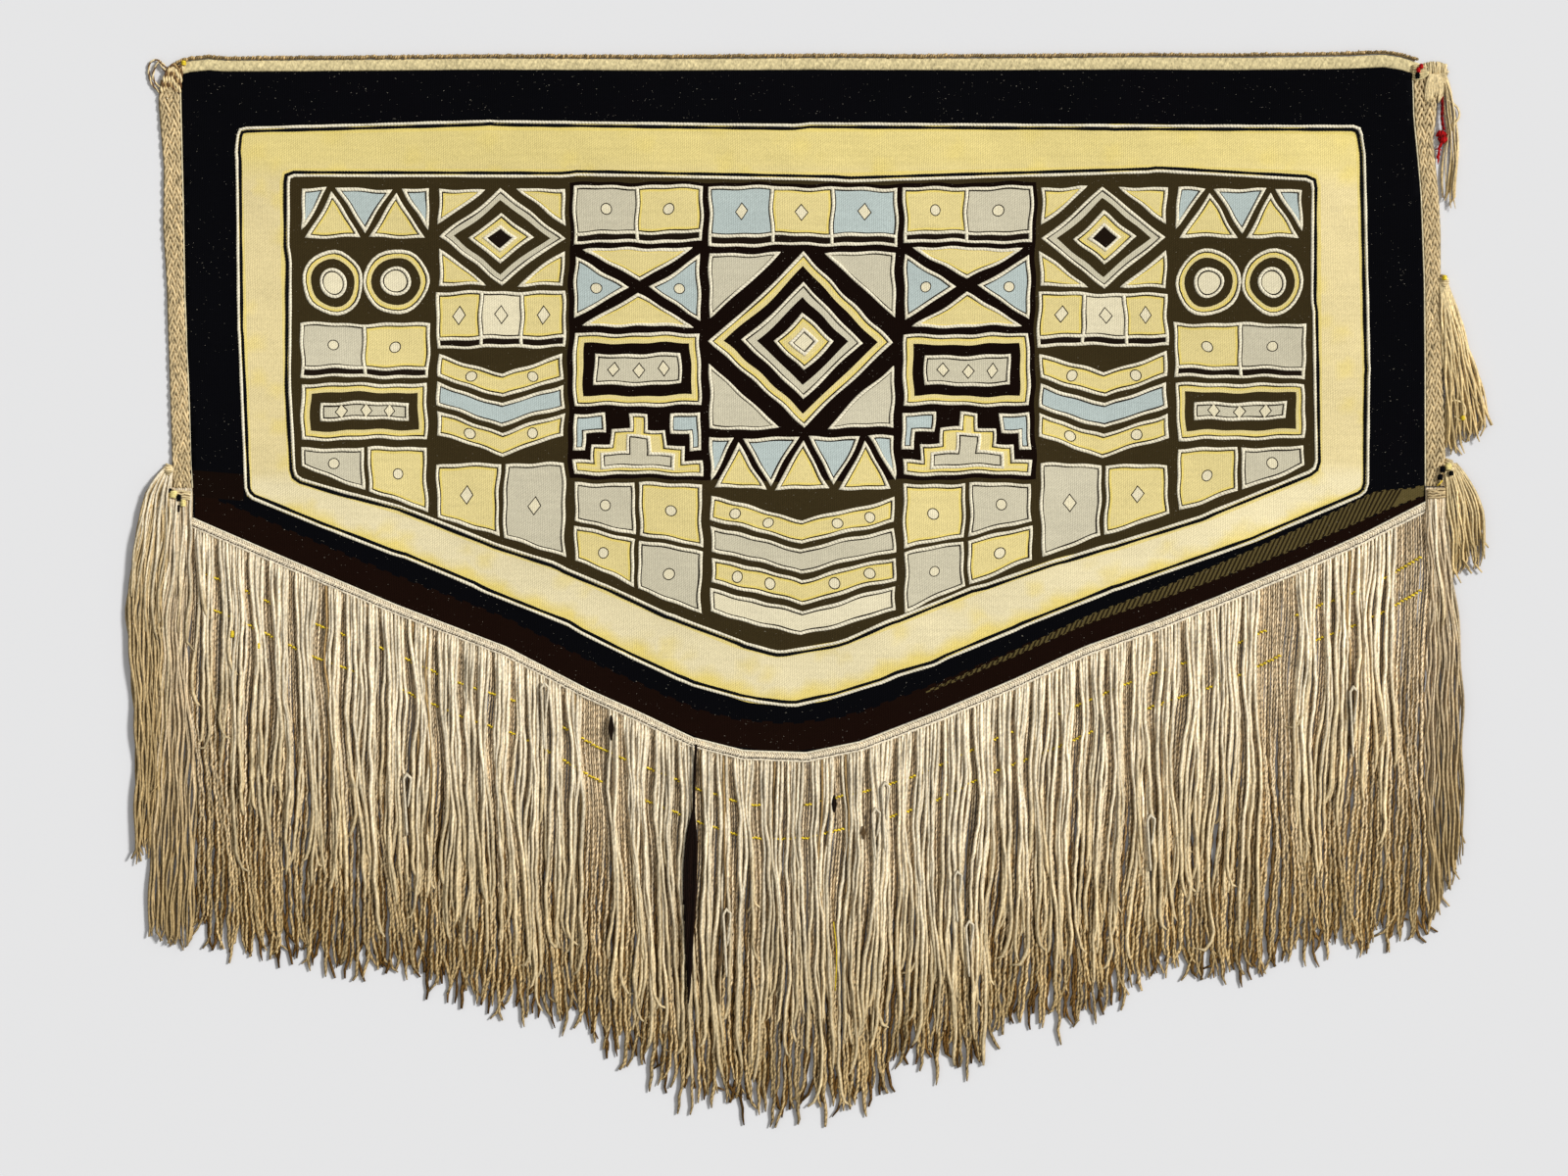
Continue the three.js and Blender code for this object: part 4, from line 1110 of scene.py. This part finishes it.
def flowing(points, step=4.0):
    """A smooth route through the points."""
    points = np.array(points, float)
    ends = np.vstack([2 * points[0] - points[1], points, 2 * points[-1] - points[-2]])
    made = []
    for a, b, c, d in zip(ends, ends[1:], ends[2:], ends[3:]):
        count = max(1, round(np.linalg.norm(c - b) / step))
        for t in np.arange(count) / count:
            cubic = 2 * b + (c - a) * t + (2 * a - 5 * b + 4 * c - d) * t ** 2 + (3 * b - a - 3 * c + d) * t ** 3
            made.append(cubic / 2)
    made.append(points[-1])
    return np.array(made)


def yellow_rows():
    """Two rows of yellow twining over the warps, seen between the front yarns."""
    random = np.random.default_rng(55)
    piece = Piece()
    for below in YELLOW_ROWS:
        for x in np.arange(-772, 786, 4.6):
            y = lower_edge(x) - below + 2.5 * math.sin(x / 31) + random.uniform(-0.6, 0.6)
            if math.sin(x / 47 + below) + 0.6 * math.sin(x / 17) > -0.9:
                route = [(x, y - 0.7, 4.4), (x + 2.4, y + 0.6, 5.6), (x + 4.8, y - 0.7, 4.4)]
                piece.tube(route, 1.1, linear("stitch") * random.uniform(0.85, 1.15), sides=4, painted_shade=0.4)
    return piece.make("yellow_rows", YARN, "cream_wool")


# Where a front yarn turns back on itself: the place and height of its loop, and where it is lost below
LOOPS = [
    (211, -655, -720), (104, -479, -560), (700, -357, -440), (92, -512, -570), (-330, -352, -430),
    (442, -520, -585), (-505, -468, -540), (196, -592, -650), (-98, -640, -720),
]


def stray_yarns():
    """One black yarn with a long tuft, short dark slubs and a yellow end, lying on the fringe."""
    random = np.random.default_rng(56)
    piece = Piece()
    piece.tube(flowing([(-137, -424, 10.4), (-139, -470, 12), (-140, -515, 12)]), 1.9, linear("soot"))
    for k in range(7):
        end = -628 - 21 * k
        side = -150 + 2.2 * k
        route = flowing([(-140, -506, 11.6), (side, -560, 12), (side - 2, -620, 11.8), (-153 + k, end, 11)], 9)
        piece.tube(route, tapered(2.0, len(route), random), linear("soot") * random.uniform(0.5, 1.5))
    for x, top, low in ((-245, -387, -419), (39, -489, -511), (76, -528, -545)):
        for k in range(3):
            aside = 2.4 * (k - 1)
            route = flowing([(x, top, 9), (x + aside, (top + low) / 2, 9.6), (x, low, 9)], 6)
            piece.tube(route, tapered(1.3, len(route), random), linear("dark" if x < 50 else "umber"))
    piece.tube(flowing([(38, -650, 9.8), (42, -690, 10.2), (40, -738, 9.8)], 8), 0.9, linear("stitch") * 0.8)
    for x, y, low in LOOPS:
        bend = [(x, low, 9), (x - 3, y - 22, 10.6), (x - 4, y, 11), (x, y + 6, 11), (x + 5, y + 1, 11)]
        route = flowing(bend + [(x + 3, y - 20, 10.4), (x + 1, (y + low) / 2, 9)], 5)
        piece.tube(route, tapered(1.8, len(route), random), linear("yarn") * 0.8, sides=6)
    return piece.make("stray_yarns", YARN, "brown_yarn")


def fringe():
    made = [footing(-781, 796, 20)]
    for k, (side, from_x, to_x) in enumerate((("left", -777, 2.4), ("right", 2.6, 792))):
        made.append(warps(f"fringe_warps_{side}", from_x, to_x, 30 + k))
        made.append(front_yarns(f"fringe_yarns_{side}", from_x, to_x, 40 + k))
    return made + [yellow_rows(), stray_yarns()]


# Corner yarns and tassels: the edges each fan runs between, as y, inner x and outer x, and its free ends
FANS = {
    "corner_yarns_left": {
        "edges": [(-97, -780, -804.5), (-132, -780.5, -805), (-150, -781, -806), (-245, -780.5, -813),
                  (-355, -779.5, -822), (-480, -778.5, -829), (-700, -777.5, -834)],
        "tips": (-690, -670), "count": 26, "reach": 30, "dyes": ("warp", "warp_end"),
        "front": (9, -420, -230),
    },
    "corner_yarns_right": {
        "edges": [(-97, 793, 818.5), (-132, 793.5, 817), (-150, 793.5, 819.5), (-225, 793.5, 829),
                  (-300, 793.5, 836), (-400, 793.5, 840), (-700, 793.5, 845)],
        "tips": (-672, -572), "count": 24, "reach": 30, "dyes": ("warp", "warp_end"),
        "front": (5, -460, -240),
    },
    "tassel_yarns_left": {
        "edges": [(-70, -804, -813), (-84, -805, -826), (-104, -806, -838), (-142, -806.5, -847),
                  (-190, -809, -855), (-258, -811, -864), (-330, -814, -857), (-450, -817, -850),
                  (-600, -818, -853)],
        "tips": (-545, -572), "count": 34, "dyes": ("plait", "warp_end"), "front": (14, -296, -225),
        "node": "tassel_left", "head": (-809.5, -76, 7, 9, 8),
        "reach": 90,
    },
    "tassel_yarns_right_lower": {
        "edges": [(-66, 815, 832), (-84, 816, 846), (-104, 817, 857), (-130, 819, 865), (-160, 822, 869),
                  (-225, 828, 868)],
        "tips": (-214, -196), "count": 30, "node": "tassel_right_lower", "head": (823, -70, 8, 9, 8),
        "reach": 45,
    },
    "tassel_yarns_right_middle": {
        "edges": [(170, 810, 818), (140, 812, 829), (86, 814, 847), (39, 816.6, 862), (-10, 818.2, 876),
                  (-60, 819.6, 884)],
        "tips": (-64, -18), "count": 38, "node": "tassel_right_middle", "head": (816.5, 165, 7, 9, 8),
        "reach": 60,
    },
    "tassel_yarns_right_upper": {
        "edges": [(431, 813, 818), (412, 815.3, 825), (380, 816, 832), (362, 819, 834), (338, 817, 834),
                  (300, 814, 834), (250, 813, 832)],
        "tips": (274, 252), "count": 7, "thick": (0.9, 1.5), "node": "tassel_right_upper",
        "head": (804.2, 436.6, 16.8, 10.4, 9), "reach": 25,
    },
}


def fan(name, edges, tips, count, reach, seed, node=None, head=None, dyes=("tassel", "tassel_end"),
        front=None, thick=(1.3, 2.1)):
    """Yarns spread between two edges, with a wrapped head where they start."""
    random = np.random.default_rng(seed)
    piece = Piece()
    ys = [row[0] for row in edges][::-1]
    inner = [row[1] for row in edges][::-1]
    outer = [row[2] for row in edges][::-1]
    for k in range(count + (front[0] if front else 0)):
        over = k >= count
        share = (k % count + random.uniform(0.2, 0.8)) / (front[0] if over else count)
        tip = tips[0] + share * (tips[1] - tips[0]) + random.uniform(-0.2, 1) * reach * random.random()
        tip = random.uniform(*front[1:]) if over else tip
        steps = max(6, int((ys[-1] - tip) / RING_STEP))
        y = np.linspace(ys[-1], tip, steps)
        x = np.interp(y, ys, inner) * (1 - share) + np.interp(y, ys, outer) * share
        depth = np.maximum(-132 - y, 0)
        settled = smooth(ys[-1] - y, 5, 60)
        x = x + sway_at(x, y, depth) + 1.6 * np.sin(y / random.uniform(9, 22) + k) * settled
        level = 1.9 + 2.3 * (k % 3) + 1.6 * over
        z = 3.4 + (level - 3.4) * smooth(ys[-1] - y, 0, 30) + 0.4 * np.sin(y / 11 + k)
        radius = random.uniform(*thick) + 0.2 * over
        route = np.column_stack([x, y, np.maximum(z, radius + 0.15)])
        route[-1, 0] += random.normal(0, 4)
        own_dyes = yarn_dyes(random, *(("yarn", "yarn_end") if over else dyes), steps, 0.22)
        piece.tube(route, tapered(radius, steps, random), own_dyes)
    if head:
        wrapped_head(piece, *head, "tassel", random)
    nodes = (node,) if node else ()
    return piece.make(name, YARN, "cream_wool", *nodes)


def wrapped_head(piece, x, y, half_wide, half_long, height, dye, random):
    """Yarn wound turn beside turn across the shorter way of a rounded head."""
    middle = np.array([x, y])
    across, along = np.identity(2) if half_wide < half_long else np.identity(2)[::-1]
    reach, length = sorted((half_wide, half_long))
    turns = np.linspace(0, math.pi, 9)
    for share in np.linspace(-0.84, 0.84, max(5, round(length * 2 / 3))):
        size = math.sqrt(1 - 0.75 * share ** 2)
        radius = random.uniform(1.5, 2.0)
        lean = random.uniform(-1.5, 1.5)
        flat = middle + across * (-(reach * size - radius) * np.cos(turns))[:, None]
        flat = flat + along * (length * share + lean * np.cos(turns))[:, None]
        z = radius + 0.2 + (height * size - 2 * radius) * np.sin(turns)
        piece.tube(np.column_stack([flat, z]), radius, linear(dye) * random.uniform(0.5, 1.08), sides=6)


def red_tie():
    """A red yarn beside the right band, knotted and frayed below."""
    random = np.random.default_rng(81)
    piece = Piece()
    drop = [(812.6, 420, 3.0), (812.8, 408, 4.6), (814, 392, 5), (813.6, 374, 5), (815.6, 359, 5.4)]
    for turn in (0, math.pi):
        route = flowing(drop, 2.5)
        twist = np.arange(len(route)) * 1.2 + turn
        route = route + np.column_stack([1.0 * np.cos(twist), np.zeros(len(route)), 0.9 * np.sin(twist)])
        piece.tube(route, 1.35, linear("red") * (1 if turn else 0.7), sides=6, painted_shade=0.6)
    wrapped_head(piece, 813, 354, 5.5, 5.5, 8, "scarlet", random)
    wrapped_head(piece, 815.5, 346, 5.5, 5, 8, "scarlet", random)
    for k, (x, y) in enumerate(((805, 334), (807, 322), (808.5, 315), (811, 326), (809.6, 319), (813, 333))):
        route = flowing([(814, 344, 5), (811 - 0.3 * k, 336, 4.4), (x, y, 3)], 3)
        piece.tube(route, tapered(1.2, len(route), random), linear("scarlet") * random.uniform(0.6, 1.1))
    return piece.make("red_tie_yarn", YARN, "red_yarn", "red_tie")


def twisted_cord(piece, points, radius, dyes, start=0.0):
    """Two plies wound round one route."""
    for ply, dye in enumerate(dyes):
        route = flowing(points, 2.5)
        twist = np.arange(len(route)) * 1.1 + math.pi * ply + start
        reach = 0.65 * radius
        route = route + np.column_stack([reach * np.cos(twist), reach * 0.5 * np.cos(twist), reach * np.sin(twist)])
        piece.tube(route, radius, linear(dye), painted_shade=0.6)


def corner_loop():
    """A slack double loop of brown and cream yarn hanging beside the left band's upper end."""
    piece = Piece()
    outer = [(-812, 437, 3.4), (-818, 444, 3.6), (-826, 448.5, 2.8), (-833.5, 444, 2.2), (-835, 432, 2.0),
             (-832, 420, 2.2), (-826, 412, 2.6), (-820, 406, 3.0), (-815, 398, 2.6)]
    inner = [(-811, 432, 3.4), (-817, 438, 4.2), (-821, 446, 4.4), (-826, 440, 3.4), (-829.5, 428, 2.8),
             (-826, 418, 3.2), (-819, 414, 3.6), (-816, 420, 3.8), (-813, 412, 3.0)]
    for number, points in enumerate((outer, inner)):
        twisted_cord(piece, points, 1.0, ("brown_ply", "tassel"), number)
    return piece.make("corner_loop_yarn", YARN, "brown_yarn", "corner_loop")


def knob(piece, x, y, half_wide, half_long, height, dye, random):
    """A small knot or stitch of a few short turns."""
    rows = max(3, round(half_long * 2 / 2.2))
    for share in np.linspace(-0.7, 0.7, rows):
        wide = half_wide * math.sqrt(1 - 0.6 * share ** 2)
        row = y + half_long * share
        route = [(x - wide, row, height - 2.6), (x - 0.5 * wide, row + 0.3, height),
                 (x + 0.5 * wide, row + 0.3, height), (x + wide, row, height - 2.6)]
        piece.tube(route, 1.3, linear(dye) * random.uniform(0.8, 1.1), painted_shade=0.5)


# Small knots and stitches: place, half width, half length, height, dye
KNOBS = [
    (-790.2, 443.7, 2.6, 2.4, 7, "stitch"), (-803, -106, 5, 4.4, 9, "knot"),
    (-795.5, -110.5, 3.4, 3.6, 9.4, "black"), (-790.6, -117, 3.2, 4.6, 9, "knot"),
    (-797, -124, 2.4, 4.4, 8.4, "soot"), (-807.5, -101, 1.8, 2.0, 8, "black"),
    (787, 439.4, 2, 2.6, 8, "scarlet"), (783.4, 434.6, 2, 2.6, 8, "scarlet"),
    (782.4, 427.6, 2.4, 3.4, 8, "black"), (814, -74, 3, 3.6, 10, "black"),
    (811, -84, 2.8, 3.4, 9.6, "black"), (825, -79, 2.2, 2.4, 10.4, "black"),
    (-728, -284, 1.8, 4.2, 9.2, "stitch"), (-694, -299, 1.8, 3.2, 9.2, "stitch"),
    (821.3, -70.5, 3.8, 4.4, 10.4, "knot"), (840, -8.7, 2.2, 2.2, 9, "stitch"),
    (816.2, 170, 2.2, 2.2, 10, "stitch"),
]


LOOSE_ENDS = [
    [(818, 398, 4), (826, 394, 4), (834, 386, 3.4), (835.5, 376, 3.4), (830, 366, 3.2), (826, 358, 3)],
    [(820, 12, 5), (831, 14, 6.2), (841, 9, 6.2), (843, -3, 6), (837, -11, 6.2), (829, -6, 6.4)],
]


def corner_knots():
    """The small knots, wraps, cords and cut ends at the cloth's corners."""
    random = np.random.default_rng(83)
    piece = Piece()
    for sizes in KNOBS:
        knob(piece, *sizes, random)
    piece.tube([(807, -95, 7.6), (810, -92, 8.6), (813.5, -88, 8.4)], 0.9, linear("stitch"))
    # A dark yarn below the right corner: painted shadow in the hollow where the cloth's corner meets the corner yarns
    piece.tube([(798, -112, 2.6), (799.5, -124, 3.4), (800, -138, 2.4)], 2.2, linear("soot"))
    # Cords that carry the left band up to the heading's end
    for k in range(7):
        foot = (-819 + 3.9 * k, 412 - 2 * abs(k - 3), 4.4)
        middle = (-814 + 3.4 * k, 427, 5.4)
        top = (-805 + 2.2 * k, 440 + 0.8 * (k % 3), 4.4)
        twisted_cord(piece, [foot, middle, top], 1.6, ("tassel", "tan" if k % 2 else "brown_ply"), k)
    twisted_cord(piece, [(-812, 432, 5), (-804, 442, 6), (-796, 438, 6.4), (-790, 445, 5)], 1.5, ("tan", "brown_ply"))
    # The heading's right end, drawn into the upper knot
    for k in range(6):
        route = flowing([(776, 424 + 3.2 * k, 4.2), (786, 424 + 3.2 * k, 4.8), (797, 430 + 1.6 * k, 6)], 4)
        piece.tube(route, 1.9, linear("heading") * random.uniform(0.8, 1.05), painted_shade=0.5)
    for side, low, high in ((-1, -804, -781), (1, 794, 817.5)):
        for y in (-101, -104, -107.5, -110.5):
            across = np.linspace(low, high, 7)
            z = 6.3 + 1.2 * np.sin(np.linspace(0, math.pi, 7))
            route = np.column_stack([across, y + side * 0.08 * (across - low) + random.normal(0, 0.5, 7), z])
            piece.tube(route, 1.5, linear("tassel" if side < 0 else "plait") * random.uniform(0.8, 1.1), painted_shade=0.6)
    for k in range(16):
        y = 418 + 1.6 * k
        middle = (816.5 + random.uniform(-1, 1), y, 4.6)
        end = (820.5 + random.uniform(-2.5, 2), y + random.normal(0, 1.2), 3)
        route = flowing([(808, 430 + 0.5 * (k - 7), 6), middle, end], 3)
        piece.tube(route, 1.2, linear("tassel") * random.uniform(0.5, 1.1))
    for k in range(12):
        foot = (792 + 1.9 * k, random.uniform(388, 404), 4.8)
        route = flowing([(798 + 1.0 * k, 430, 7.4), (793.5 + 1.9 * k, 416, 6.4), foot], 4)
        piece.tube(route, tapered(1.7, len(route), random), linear("tassel") * random.uniform(0.75, 1.1), painted_shade=0.7)
    for points in LOOSE_ENDS:
        piece.tube(flowing(points, 3), 1.5, linear("tassel"))
    return piece.make("corner_knots", YARN, "cream_wool")


def stage():
    scene = bpy.context.scene
    floor_mesh = bpy.data.meshes.new("floor")
    corners = [(x, y, FLOOR_Z) for x, y in box(-FLOOR_REACH, -FLOOR_REACH, FLOOR_REACH, FLOOR_REACH)]
    floor_mesh.from_pydata(corners, [], [(0, 1, 2, 3)])
    floor = bpy.data.objects.new("floor", floor_mesh)
    scene.collection.objects.link(floor)
    paint = bpy.data.materials.new("floor_look")
    paint.use_nodes = True
    shader = paint.node_tree.nodes["Principled BSDF"]
    shader.inputs["Base Color"].default_value = (0.79, 0.79, 0.795, 1)
    shader.inputs["Roughness"].default_value = 0.9
    shader.inputs["Specular IOR Level"].default_value = 0.1
    floor_mesh.materials.append(paint)
    key = bpy.data.lights.new("key", "SUN")
    key.energy = SUN_ENERGY
    key.angle = math.radians(SUN_SPREAD)
    key_object = bpy.data.objects.new("key", key)
    key_object.rotation_euler = Vector(SUN_FROM).to_track_quat("Z", "Y").to_euler()
    scene.collection.objects.link(key_object)
    world = bpy.data.worlds.new("studio")
    world.use_nodes = True
    world.node_tree.nodes["Background"].inputs["Color"].default_value = (1, 1, 1, 1)
    world.node_tree.nodes["Background"].inputs["Strength"].default_value = SKY_STRENGTH
    scene.world = world
    scene.view_settings.view_transform = "Standard"


def camera():
    data = bpy.data.cameras.new("camera")
    data.lens = CAMERA_LENS
    data.sensor_width = 36
    view = bpy.data.objects.new("camera", data)
    view.location = CAMERA_PLACE
    bpy.context.scene.collection.objects.link(view)
    bpy.context.scene.camera = view


camera()
stage()
design = Design()
lay_borders(design)
lay_field(design)
cloth_mesh, cloth_area = coloured_cloth(design)
cloth = placed("cloth", cloth_mesh, CLOTH, ("woven_panel",))
lines = border_lines()
outlines = field_lines(design)
trimmings = [
    heading_strip(),
    heading_whipping(),
    side_plait("side_braid_left", "side_plait_left", -1, 61),
    side_plait("side_braid_right", "side_plait_right", 1, 62),
    *fringe(),
    red_tie(),
    corner_loop(),
    corner_knots(),
]
for number, (fan_name, sizes) in enumerate(FANS.items()):
    trimmings.append(fan(fan_name, seed=70 + number, **sizes))
